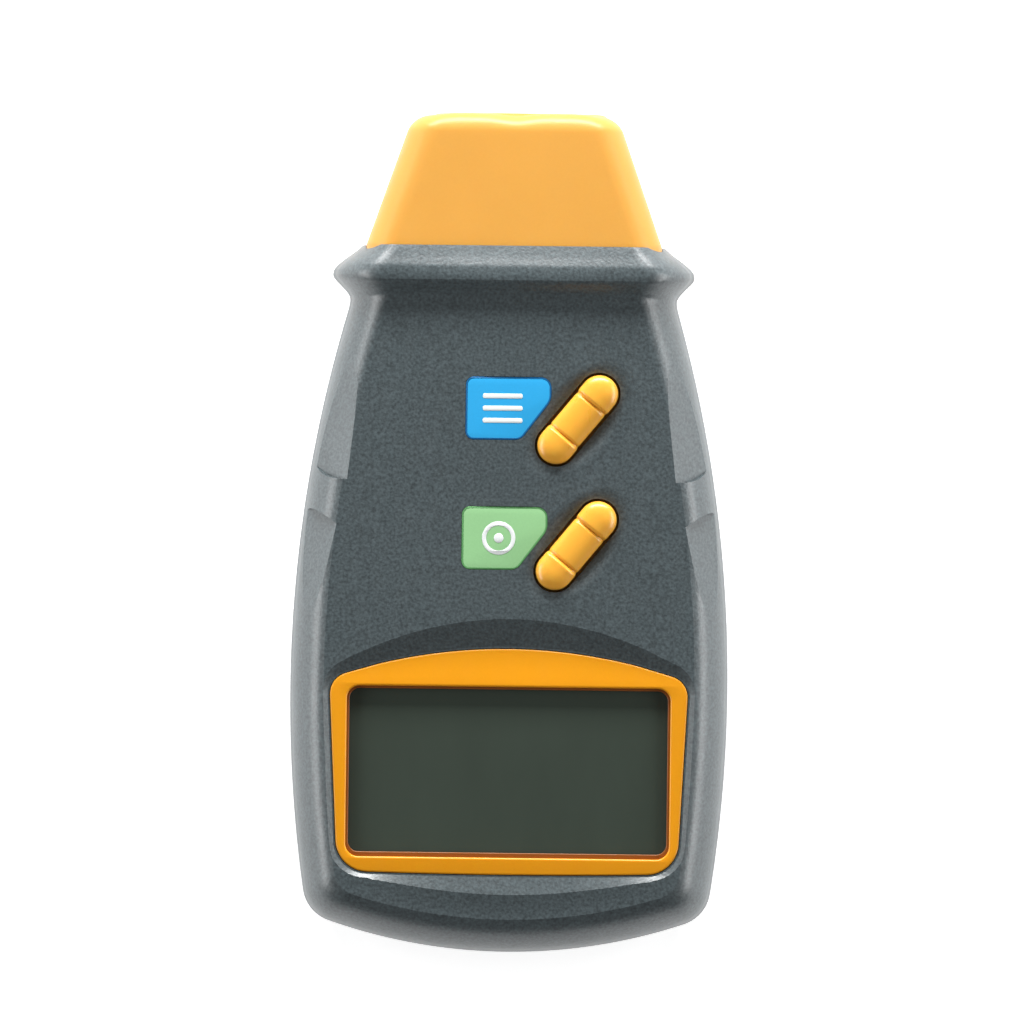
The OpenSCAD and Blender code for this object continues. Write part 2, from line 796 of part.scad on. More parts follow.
module lcd_reflector() {
    color("#a9b0a6")
    lcd_slab(glass_w - glass_edge, glass_h - 3 * glass_edge, lcd_z, polariser_t);
}

module lcd_holder() {
    color("#20242a")
    difference() {
        lcd_slab(glass_w + 2 * (holder_wall + clip_gap), glass_h + 2 * (holder_wall + clip_gap),
            board_top, front_glass_z - board_top);
        lcd_slab(glass_w + 2 * clip_gap, glass_h + 2 * clip_gap, board_top - over, lcd_top);
    }
}

module zebra_strips() {
    color("#b9b2c8")
    for (side = [-1, 1])
        translate([-glass_w / 2, window_y + side * (glass_h - glass_edge) / 2 - glass_edge / 2, board_top])
        cube([glass_w, glass_edge * strip_share, rear_glass_z - board_top]);
}

module main_board() {
    color("#1f6b43")
    difference() {
        plate(closed(flip(board_outline)), board_z, board_t);
        for (p = board_screw_places)
            post(p, board_z - over, board_t + 2 * over, board_hole_r);
    }
}

module board_film() {
    color("#e8dfae", 0.8)
    translate([-battery_len / 2, battery_y - battery_w / 2, film_z])
    cube([battery_len, battery_w, film_t]);
}

// Small parts on the board: the coated controller, its crystal, two capacitors and five resistors
blob_x = -17;
blob_lift = 6.8;
blob_r = 6;
blob_h = 2;
blob_bow = 11;
module controller_blob() {
    color("#17181a")
    translate([blob_x, memory_y - blob_lift, board_top])
    intersection() {
        cylinder(h = blob_h, r = blob_r);
        translate([0, 0, blob_h - blob_bow])
        sphere(r = blob_bow);
    }
}

crystal_x = -14;
crystal_drop = 4.2;
crystal_r = 1.5;
crystal_len = 8;
module clock_crystal() {
    color("silver")
    translate([crystal_x, measure_y - crystal_drop, board_top + crystal_r])
    rotate([0, 90, 0])
    cylinder(h = crystal_len, r = crystal_r);
}

capacitor_r = 2.5;
capacitor_h = 3.4;
capacitor_gap = 1;
capacitor_drop = 11.8;
module supply_capacitors() {
    color("#2b3d6b")
    for (i = [0, 1])
        post([blob_x + i * (2 * capacitor_r + capacitor_gap), measure_y - capacitor_drop],
            board_top, capacitor_h, capacitor_r);
}

resistor = [2, 1.25, 0.5];
resistor_x = -10;
resistor_drop = 8.2;
module chip_resistors() {
    color("#26282b")
    for (i = [0 : 4])
        translate([resistor_x + 2 * i * resistor[0], measure_y - resistor_drop, board_top])
        cube(resistor);
}

slot_len_share = 1.4;
slot_w_share = 0.28;
module screw(p, seat_z, len, r, head_r, head_t) {
    difference() {
        union() {
            post(p, seat_z, len, r);
            post(p, seat_z - head_t, head_t, head_r);
        }
        for (a = [0, 90])
            translate([p[0], p[1], seat_z - head_t])
            rotate([0, 0, a])
            cube([slot_len_share * head_r, slot_w_share * head_r, head_t], center = true);
    }
}

module housing_screws() {
    color("#8b8f94")
    for (p = screw_places)
        screw(p, screw_seat_z, screw_len, screw_r, screw_head_r, screw_head_t);
}

module board_screws() {
    color("#b0b3b6")
    for (p = board_screw_places)
        screw(p, board_z, board_screw_len, board_screw_r - clip_gap / 2,
            board_screw_head_r, board_screw_head_t);
}

module key(y) {
    color("#f5bb47")
    at_key(y)
    difference() {
        union() {
            intersection() {
                plate(rounded_box(key_w, key_len, key_w / 2), key_flange_top - key_flange_t,
                    face_z + 2 * key_rise - key_flange_top);
                translate([0, 0, face_z + key_rise - key_dome_r])
                union() {
                    along_y(0, 0, (key_len - key_w) / 2, -(key_len - key_w) / 2, key_dome_r);
                    for (side = [-1, 1])
                        translate([0, side * (key_len - key_w) / 2, 0])
                        sphere(r = key_dome_r);
                }
            }
            plate(rounded_box(key_w + 2 * key_flange_w, key_len + 2 * key_flange_w, key_w / 2 + key_flange_w),
                key_flange_top - key_flange_t, key_flange_t);
            post([0, 0], plunger_top, key_flange_top - key_flange_t - plunger_top, key_stem_r);
        }
        for (side = [-1, 1])
            translate([0, side * key_groove_gap / 2, face_z + key_rise])
            cube([2 * key_w, key_groove_w, 2 * key_groove_depth], center = true);
    }
}

module switch_base(y) {
    color("#2a2c2f")
    at_key(y)
    difference() {
        translate([-switch_w / 2, -switch_w / 2, board_top])
        cube([switch_w, switch_w, switch_t]);
        post([0, 0], board_top + switch_t - plunger_sink - key_travel - plunger_gap, switch_t + over,
            plunger_r + plunger_gap);
    }
}

module switch_plunger(y) {
    color("#d9d6cf")
    at_key(y)
    post([0, 0], board_top + switch_t - plunger_sink, plunger_top - board_top - switch_t + plunger_sink,
        plunger_r);
}

module memory_button() { key(memory_y); }
module measure_button() { key(measure_y); }
module memory_switch_base() { switch_base(memory_y); }
module measure_switch_base() { switch_base(measure_y); }
module memory_switch_plunger() { switch_plunger(memory_y); }
module measure_switch_plunger() { switch_plunger(measure_y); }

module label(y) {
    translate([label_x, y + label_lift, 0])
    plate(label_outline(0), label_z, label_t);
}
module memory_label() { color("#4db4ea") label(memory_y); }
module measure_label() { color("#9ad195") label(measure_y); }

// Optics: one moulded block that plugs the base of the nose and carries both tubes
block_gap = 0.1;
plate_in = 1.2;
plate_y = nose_low_y + plate_in;
plate_t = 2;
lens_edge_t = 2.2;
ring_t = 1;
lens_bow = 14;
tube_wall = 1.2;
block_front_y = nose_in_y - block_gap;
ring_y = block_front_y - ring_t;
lens_y = ring_y - block_gap / 2 - lens_edge_t;
tunnel_r = 3;
diode_bore_r = 2.6;
barrel_r = 4;
barrel_bore_r = 4.05;
laser_window_r = 3;
laser_window_t = 0.8;
barrel_front_y = block_front_y - laser_window_t - block_gap;
barrel_len = 15;
barrel_back_y = barrel_front_y - barrel_len;
laser_lens_r = 2.9;
laser_lens_t = 2;
laser_lens_edge_t = 1.4;
laser_lens_bow = 7;
can_r = 2.75;
can_len = 4;
laser_board_t = 1;

module optics_block() {
    color("#2a2d30")
    difference() {
        union() {
            nose_prism(-nose_wall - block_gap, plate_y + plate_t, plate_y);
            along_y(lens_x, nose_axis_z, block_front_y, plate_y, lens_r + block_gap + tube_wall);
            along_y(laser_x, nose_axis_z, block_front_y, plate_y, barrel_bore_r + tube_wall);
            translate([laser_x, plate_y, nose_axis_z - tube_wall])
            cube([lens_x - laser_x, barrel_front_y - plate_y, 2 * tube_wall]);
        }
        along_y(lens_x, nose_axis_z, block_front_y + over, lens_y - block_gap / 2, lens_r + block_gap);
        along_y(lens_x, nose_axis_z, lens_y, plate_y + plate_t, lens_r - tube_wall / 2, tunnel_r);
        along_y(lens_x, nose_axis_z, plate_y + plate_t + over, plate_y - over, diode_bore_r);
        along_y(laser_x, nose_axis_z, block_front_y + over, plate_y - over, barrel_bore_r);
    }
}

// A lens about the line of sight, flat behind and bowed in front within a flat rim
module bowed_lens(x, y, r, rim, edge_t, bow) {
    translate([x, y, nose_axis_z])
    rotate([-90, 0, 0])
    rotate_extrude()
    polygon(concat([[0, 0], [r, 0], [r, edge_t]],
        [for (i = [0 : 8])
            let (q = (r - rim) * (1 - i / 8))
            [q, edge_t + sqrt(bow * bow - q * q) - sqrt(bow * bow - pow(r - rim, 2))]]));
}

module receiver_lens() {
    color("#9fb6c8", 0.5)
    bowed_lens(lens_x, lens_y, lens_r, lens_r - port_r, lens_edge_t, lens_bow);
}

module lens_ring() {
    color("#1b1c1e")
    difference() {
        along_y(lens_x, nose_axis_z, block_front_y, ring_y, lens_r);
        along_y(lens_x, nose_axis_z, block_front_y + over, ring_y - over, port_r);
    }
}

module laser_window() {
    color("#a03030", 0.5)
    along_y(laser_x, nose_axis_z, block_front_y, block_front_y - laser_window_t, barrel_r);
}

module laser_barrel() {
    color("#c9a227")
    difference() {
        along_y(laser_x, nose_axis_z, barrel_front_y, barrel_back_y, barrel_r);
        along_y(laser_x, nose_axis_z, barrel_front_y + over, barrel_front_y - laser_lens_t - tube_wall,
            laser_lens_r + block_gap / 2);
        along_y(laser_x, nose_axis_z, barrel_front_y + over, barrel_back_y - over, laser_lens_r - tube_wall);
        along_y(laser_x, nose_axis_z, barrel_back_y + can_len, barrel_back_y - over, can_r + block_gap / 2);
    }
}

module laser_lens() {
    color("#b7cfe0", 0.5)
    bowed_lens(laser_x, barrel_front_y - laser_lens_t - tube_wall, laser_lens_r, block_gap,
        laser_lens_edge_t, laser_lens_bow);
}

module laser_diode() {
    color("#c8b070")
    along_y(laser_x, nose_axis_z, barrel_back_y + can_len, barrel_back_y, can_r);
}

module laser_board() {
    color("#1f6b43")
    along_y(laser_x, nose_axis_z, barrel_back_y, barrel_back_y - laser_board_t, barrel_r);
}

sensor_half_w = 6;
sensor_half_h = 7;
sensor_t = 1;
module sensor_board() {
    color("#1f6b43")
    translate([lens_x - sensor_half_w, plate_y - sensor_t, nose_axis_z - sensor_half_h])
    cube([2 * sensor_half_w, sensor_t, 2 * sensor_half_h]);
}

module photodiode() {
    color("#30343a")
    along_y(lens_x, nose_axis_z, plate_y + plate_t, plate_y, diode_bore_r - block_gap);
}

pin_w = 0.6;
pin_gap = 2.5;
pin_len = 6.4;
module sensor_pins() {
    color("#c9a860")
    for (i = [-1, 0, 1])
        translate([lens_x + i * pin_gap - pin_w / 2, plate_y - sensor_t - pin_len, board_top])
        cube([pin_w, pin_len, pin_w]);
}

// A round lead that follows a list of points
lead_r = 0.6;
function span(p, i) = p[min(i + 1, len(p) - 1)] - p[max(i - 1, 0)];
function sweep_ring(c, d, r) =
    let (t = d / norm(d), ref = abs(t[0]) < 0.9 ? [1, 0, 0] : [0, 1, 0],
        u = cross(t, ref) / norm(cross(t, ref)), v = cross(t, u))
    [for (k = [0 : 7]) c + r * (u * cos(45 * k) + v * sin(45 * k))];
function curve(p, n = 4) =
    concat([for (i = [0 : len(p) - 2]) for (k = [0 : n - 1])
        let (t = k / n, a = p[i], b = p[i + 1], s = span(p, i) / 2, e = span(p, i + 1) / 2)
        a * (2 * t * t * t - 3 * t * t + 1) + s * (t * t * t - 2 * t * t + t)
        + b * (3 * t * t - 2 * t * t * t) + e * (t * t * t - t * t)], [p[len(p) - 1]]);
module lead(points) {
    p = curve(points);
    rings = [for (i = [0 : len(p) - 1]) each sweep_ring(p[i], span(p, i), lead_r)];
    n = len(p);
    polyhedron(rings, concat(
        [for (i = [0 : n - 2]) for (k = [0 : 7])
            let (a = 8 * i + k, b = 8 * i + (k + 1) % 8) each [[a, b + 8, b], [a, a + 8, b + 8]]],
        [for (k = [1 : 6]) [0, k, k + 1]],
        [for (k = [1 : 6]) [8 * n - 8, 8 * n - 7 + k, 8 * n - 8 + k]]
    ));
}

lead_end_z = board_z - fit_gap;
laser_back_y = barrel_back_y - laser_board_t;
// The laser's leads run straight back and rise to the board's underside
laser_lead_half = 1.5;
laser_lead_runs = [3, 7, 9, 9.3];
laser_lead_spreads = [1.7, 2];
laser_lead_rise = 2;
module laser_lead(side) {
    lead([
        [laser_x + side * laser_lead_half, laser_back_y - block_gap, nose_axis_z],
        [laser_x + side * laser_lead_half, laser_back_y - laser_lead_runs[0], nose_axis_z],
        [laser_x + side * laser_lead_spreads[0], laser_back_y - laser_lead_runs[1],
            nose_axis_z + laser_lead_rise / 2],
        [laser_x + side * laser_lead_spreads[1], laser_back_y - laser_lead_runs[2],
            lead_end_z - laser_lead_rise],
        [laser_x + side * laser_lead_spreads[1], laser_back_y - laser_lead_runs[3], lead_end_z]
    ]);
}
module laser_lead_red() { color("#b32424") laser_lead(-1); }
module laser_lead_black() { color("#1c1c1c") laser_lead(1); }

// Nine-volt battery, lying across the tail, and its snap
battery_x = -bay_half + bay_gap;
terminal_len = 2.4;
case_len = battery_len - terminal_len;
battery_corner = 2;
battery_mid_z = battery_z + battery_t / 2;
terminal_gap = 12.7;
terminal_r = 2.9;
contact_wall = 0.5;
snap_t = 1.5;
snap_x = battery_x + battery_len + clip_gap / 2;

module battery_case() {
    color("#b9bcc0")
    translate([battery_x, battery_y, battery_mid_z])
    rotate([90, 0, 90])
    linear_extrude(case_len)
    polygon(rounded_box(battery_w, battery_t, battery_corner));
}

module battery_terminals() {
    color("silver")
    for (side = [-1, 1])
        translate([battery_x + case_len, battery_y + side * terminal_gap / 2, battery_mid_z])
        rotate([0, 90, 0])
        cylinder(h = terminal_len, r = terminal_r);
}

module snap_contacts() {
    color("#c4c7ca")
    for (side = [-1, 1])
        translate([snap_x - terminal_len + contact_wall, battery_y + side * terminal_gap / 2, battery_mid_z])
        rotate([0, 90, 0])
        difference() {
            cylinder(h = terminal_len - contact_wall, r = terminal_r + clip_gap / 2 + contact_wall);
            translate([0, 0, -over])
            cylinder(h = terminal_len + over, r = terminal_r + clip_gap / 2);
        }
}

module battery_snap() {
    color("#1d1e20")
    translate([snap_x, battery_y, battery_mid_z])
    rotate([90, 0, 90])
    linear_extrude(snap_t)
    polygon(rounded_box(2 * terminal_gap, battery_t - 2 * snap_t, terminal_r));
}

// Each battery lead leaves the snap's outer face, runs beside the bay's wall and rises to the
// board. The black one goes round the outside of the red one.
lead_half_gap = 0.8;
lead_out = 1.5;
lead_run_x = 3.7;
lead_turn = 4;
lead_run = 11;
lead_back = 4;
lead_under = 3;
lead_rise = 1.5;
lead_end_in = 4.6;
module battery_lead(side) {
    exit_x = snap_x + snap_t;
    exit_y = battery_y + lead_half_gap * side;
    exit_z = battery_mid_z + battery_t / 4;
    run_x = exit_x + lead_run_x - lead_half_gap * side;
    end_x = board_screw_low[0] - lead_end_in;
    end_y = board_screw_low[1] - lead_half_gap * side;
    lead([
        [exit_x + fit_gap, exit_y, exit_z], [exit_x + lead_out, exit_y, exit_z],
        [run_x, exit_y + lead_turn, exit_z], [run_x, battery_y + lead_run, exit_z],
        [end_x + lead_back - lead_half_gap * side, end_y - lead_under, exit_z],
        [end_x, end_y, lead_end_z - lead_rise], [end_x, end_y, lead_end_z]
    ]);
}
module battery_lead_red() { color("#b32424") battery_lead(1); }
module battery_lead_black() { color("#1c1c1c") battery_lead(-1); }

front_housing();
rear_housing();
nose_hood();
display_bezel();
display_window();
lcd_front_polariser();
lcd_front_glass();
lcd_rear_glass();
lcd_reflector();
lcd_holder();
zebra_strips();
main_board();
board_film();
controller_blob();
clock_crystal();
supply_capacitors();
chip_resistors();
board_screws();
housing_screws();
memory_button();
memory_switch_plunger();
memory_switch_base();
memory_label();
measure_button();
measure_switch_plunger();
measure_switch_base();
measure_label();
optics_block();
receiver_lens();
lens_ring();
laser_window();
laser_barrel();
laser_lens();
laser_diode();
laser_board();
sensor_board();
photodiode();
sensor_pins();
laser_lead_red();
laser_lead_black();
battery_case();
battery_terminals();
snap_contacts();
battery_snap();
battery_lead_red();
battery_lead_black();
battery_door();
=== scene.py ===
"""Dresses a handheld laser tachometer that lies on its back, seen from straight above.

Lengths in the form classes are millimetres in the row frame: +Y runs to the nose, +Z out of the display.
"""

from __future__ import annotations

import logging
import math
import sys
from dataclasses import dataclass, field
from enum import Enum
from typing import Callable, Sequence

import bmesh
import bpy
import numpy as np
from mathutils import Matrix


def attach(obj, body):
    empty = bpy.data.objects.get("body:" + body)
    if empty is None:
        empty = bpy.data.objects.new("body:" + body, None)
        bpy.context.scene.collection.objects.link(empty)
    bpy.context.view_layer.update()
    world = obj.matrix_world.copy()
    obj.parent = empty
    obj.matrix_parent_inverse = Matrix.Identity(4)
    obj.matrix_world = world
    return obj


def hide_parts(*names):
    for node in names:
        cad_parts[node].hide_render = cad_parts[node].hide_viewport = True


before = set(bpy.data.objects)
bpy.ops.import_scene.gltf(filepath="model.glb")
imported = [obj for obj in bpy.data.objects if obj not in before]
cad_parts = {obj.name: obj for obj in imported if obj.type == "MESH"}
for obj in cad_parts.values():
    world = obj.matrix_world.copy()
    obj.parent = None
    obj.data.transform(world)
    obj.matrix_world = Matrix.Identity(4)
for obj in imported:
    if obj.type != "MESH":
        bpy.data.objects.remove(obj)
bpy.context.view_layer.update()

MM = 0.001
LOG = logging.getLogger("tachometer")

Point = tuple[float, float, float]
Outline = list[tuple[float, float]]


class Body(Enum):
    """The rigid bodies that pieces ride on."""

    INSTRUMENT = "instrument"
    MEMORY_KEY = "memory_key"
    MEASURE_KEY = "measure_key"
    DOOR = "door"


class Cut(Enum):
    """The ways in which one solid changes another."""

    DIFFERENCE = "DIFFERENCE"
    UNION = "UNION"


def srgb(red: float, green: float, blue: float) -> tuple[float, float, float, float]:
    """A linear colour from screen values of 0 to 255.

    Args:
        red, green, blue: the screen values.

    Returns:
        The linear colour with full alpha.
    """
    def linear(v: float) -> float:
        """One channel in linear light."""
        c = v / 255.0
        return c / 12.92 if c <= 0.04045 else ((c + 0.055) / 1.055) ** 2.4

    return (linear(red), linear(green), linear(blue), 1.0)


Link = tuple[bpy.types.Node, "str | int"]
Pattern = tuple[float, float, Point]
EVEN: Point = (1, 1, 1)


def shaded(colour: Sequence[float], share: float, lift: float = 0.0) -> tuple[float, ...]:
    """A colour times a share plus a lift, with full alpha."""
    return (*(min(1.0, c * share + lift) for c in colour[:3]), 1.0)


class NodeSet:
    """A node tree in the making."""

    def __init__(self, tree: bpy.types.NodeTree) -> None:
        """Takes the tree."""
        self.tree = tree

    def put(self, node: bpy.types.Node, socket: str | int, value: object) -> None:
        """Sets an input to a value, or feeds it from a node's output.

        Args:
            node: the node.
            socket: the input's name or number.
            value: the value, or the pair of a node and its output.
        """
        if isinstance(value, tuple) and isinstance(value[0], bpy.types.Node):
            self.tree.links.new(value[0].outputs[value[1]], node.inputs[socket])
        else:
            node.inputs[socket].default_value = value

    def add(self, kind: str, sockets: dict[int, object] | None = None, **values: object) -> bpy.types.Node:
        """Adds a node.

        Args:
            kind: its type name.
            sockets: input values or links by number.
            values: properties in lower case, and inputs by name with underscores.

        Returns:
            The node.
        """
        node = self.tree.nodes.new(kind)
        for key in [k for k in values if k[0].islower()]:
            setattr(node, key, values.pop(key))
        for key, value in {**values, **(sockets or {})}.items():
            self.put(node, key if isinstance(key, int) else key.replace("_", " "), value)
        return node

    def math(self, operation: str, *values: object) -> Link:
        """A math node's output, from values or links."""
        return self.add("ShaderNodeMath", dict(enumerate(values)), operation=operation), 0


class ShaderBuild(NodeSet):
    """One node material in the making, on object coordinates.

    A Pattern holds a noise's size, how many finer layers it has and how much each axis is shortened.
    """

    layer_share = 0.55

    def __init__(self, name: str) -> None:
        """Starts an empty material of a name."""
        self.material = bpy.data.materials.new(name)
        self.material.use_nodes = True
        super().__init__(self.material.node_tree)
        self.tree.nodes.clear()
        self.shader = self.add("ShaderNodeBsdfPrincipled")
        self.add("ShaderNodeOutputMaterial", Surface=(self.shader, "BSDF"))
        self.place = self.add("ShaderNodeTexCoord")

    def gives(self, **values: object) -> None:
        """Sets or feeds the shader's inputs, by name with underscores."""
        for key, value in values.items():
            self.put(self.shader, key.replace("_", " "), value)

    def noise(self, size: float, detail: float = 2.0, stretch: Point = EVEN) -> Link:
        """A noise pattern.

        Args:
            size: the size of its features in mm.
            detail: how many finer layers it has.
            stretch: how much each axis is shortened.

        Returns:
            The pattern.
        """
        mapping = self.add("ShaderNodeMapping", Vector=(self.place, "Object"), Scale=stretch)
        return self.add("ShaderNodeTexNoise", Vector=(mapping, "Vector"), Scale=1.0 / (size * MM), Detail=detail,
                        Roughness=self.layer_share), 0

    def span(self, source: Link, low: float = 0.0, high: float = 1.0,
             part: tuple[float, float] = (0.3, 0.7)) -> Link:
        """Maps a part of a pattern's range onto two values.

        Args:
            source: the pattern.
            low, high: the values at the ends of that part.
            part: where it starts and ends.

        Returns:
            The mapped pattern.
        """
        return self.add("ShaderNodeMapRange", Value=source, From_Min=part[0], From_Max=part[1], To_Min=low,
                        To_Max=high), 0

    def blend(self, low: object, high: object, share: object, kind: str = "MIX") -> Link:
        """Mixes two colours.

        Args:
            low, high: each a colour or a link.
            share: the second one's share, a value or a link.
            kind: how they are mixed.

        Returns:
            The mixed colour.
        """
        return self.add("ShaderNodeMix", {0: share, 6: low, 7: high}, data_type="RGBA", blend_type=kind), 2

    def tint(self, colour: Sequence[float], spread: float, share: Link) -> Link:
        """A colour that goes from darker to lighter, by a spread, along a pattern."""
        return self.blend(shaded(colour, 1 - spread), shaded(colour, 1 + spread), share)

    def bump(self, depth: float, *heights: Link) -> None:
        """Raises the surface by patterns, each one to a depth in mm."""
        for height in heights:
            node = self.add("ShaderNodeBump", Strength=1.0, Distance=depth * MM, Height=height)
            if self.shader.inputs["Normal"].links:
                self.put(node, "Normal", (self.shader.inputs["Normal"].links[0].from_node, "Normal"))
            self.gives(Normal=(node, "Normal"))


@dataclass(frozen=True)
class Moulded:
    """Injection-moulded plastic with a sparked grain, faint flow clouds and a paler colour on outward edges."""

    name: str
    colour: tuple[float, float, float, float]
    roughness: float = 0.5
    grain: float = 0.22
    grain_depth: float = 0.012
    speckle: float = 0.05
    coat: float = 0.0
    scatter: float = 0.0
    edge: float = 0.12
    specular: float = 0.5
    cloud: Pattern = (18.0, 3.0, EVEN)
    cloud_tone: float = 0.95
    edge_range: tuple[float, float] = (0.52, 0.62)
    paler: tuple[float, float] = (1.6, 0.08)
    scuff: Pattern = (1.4, 4.0, (1, 0.25, 1))
    scuff_spread: float = 0.03
    swell: Pattern = (0.9, 2.0, EVEN)
    index: float = 1.5
    coat_roughness: float = 0.3
    depth: Point = (1.0, 0.6, 0.25)
    depth_scale: float = 0.8

    def build(self) -> bpy.types.Material:
        """The material."""
        s = ShaderBuild(self.name)
        fine = s.noise(self.grain)
        speck = s.tint(self.colour, self.speckle, s.span(fine))
        cloud = s.blend(shaded((1, 1, 1), self.cloud_tone), (1, 1, 1, 1), s.span(s.noise(*self.cloud)))
        pointed = (s.add("ShaderNodeNewGeometry"), "Pointiness")
        # Outward edges, found by pointiness, are blended towards a paler copy of the colour.
        edge = s.span(pointed, 0.0, self.edge, self.edge_range)
        colour = s.blend(s.blend(speck, cloud, 1.0, "MULTIPLY"), shaded(self.colour, *self.paler), edge)
        scuffs = s.noise(*self.scuff)
        low, high = self.roughness - self.scuff_spread, self.roughness + self.scuff_spread
        s.gives(Base_Color=colour, Roughness=s.span(scuffs, low, high), Specular_IOR_Level=self.specular,
                IOR=self.index, Coat_Weight=self.coat, Coat_Roughness=self.coat_roughness)
        if self.scatter:
            s.gives(Subsurface_Weight=self.scatter, Subsurface_Radius=self.depth,
                    Subsurface_Scale=self.depth_scale * MM)
        s.bump(self.grain_depth, fine, s.noise(*self.swell))
        return s.material


@dataclass(frozen=True)
class ClearSheet:
    """Clear or smoked plastic or glass, with faint smears in its gloss."""

    name: str
    colour: tuple[float, float, float, float]
    roughness: float = 0.05
    transmission: float = 1.0
    index: float = 1.49
    ripple: float = 0.0004
    smear: float = 0.04
    smears: Pattern = (7.0, 3.0, (1, 0.3, 1))
    waves: Pattern = (4.0, 1.0, EVEN)

    def build(self) -> bpy.types.Material:
        """The material."""
        s = ShaderBuild(self.name)
        smears = s.noise(*self.smears)
        s.gives(Base_Color=s.tint(self.colour, self.smear, s.span(smears)), IOR=self.index,
                Roughness=s.span(smears, self.roughness, self.roughness + self.smear),
                Transmission_Weight=self.transmission)
        s.bump(self.ripple, s.noise(*self.waves))
        return s.material


@dataclass(frozen=True)
class Metal:
    """Plated, turned or drawn metal, with fine streaks along one axis."""

    name: str
    colour: tuple[float, float, float, float]
    roughness: float = 0.3
    streak: Point = (1, 1, 0.1)
    tarnish: float = 0.08
    shine: tuple[float, float] = (-0.06, 0.1)
    streak_w: float = 0.12
    streak_depth: float = 0.003
    cloud: Pattern = (3.0, 3.0, EVEN)

    def build(self) -> bpy.types.Material:
        """The material."""
        s = ShaderBuild(self.name)
        lines = s.noise(self.streak_w, stretch=self.streak)
        low, high = (self.roughness + d for d in self.shine)
        s.gives(Base_Color=s.tint(self.colour, self.tarnish, s.span(s.noise(*self.cloud))), Metallic=1.0,
                Roughness=s.span(lines, low, high))
        s.bump(self.streak_depth, lines)
        return s.material


@dataclass(frozen=True)
class CircuitBoard:
    """Green solder resist with copper tracks that show through as paler lines."""

    name: str
    colour: tuple[float, float, float, float]
    track_w: float = 0.18
    cell: tuple[float, float] = (3.1, 1.1)
    darker: float = 0.85
    paler: tuple[float, float] = (2.2, 0.02)
    gloss: tuple[float, float] = (0.25, 0.4)
    cloud: float = 2.0
    weave: float = 0.8
    weave_depth: float = 0.01

    def build(self) -> bpy.types.Material:
        """The material."""
        s = ShaderBuild(self.name)
        tracks = s.add("ShaderNodeTexBrick", Vector=(s.place, "Object"), Scale=1.0, Color1=self.colour,
                       Color2=shaded(self.colour, self.darker), Mortar=shaded(self.colour, *self.paler),
                       Mortar_Size=self.track_w * MM, Brick_Width=self.cell[0] * MM, Row_Height=self.cell[1] * MM)
        s.gives(Base_Color=(tracks, "Color"), Roughness=s.span(s.noise(self.cloud), *self.gloss))
        s.bump(self.weave_depth, s.noise(self.weave))
        return s.material


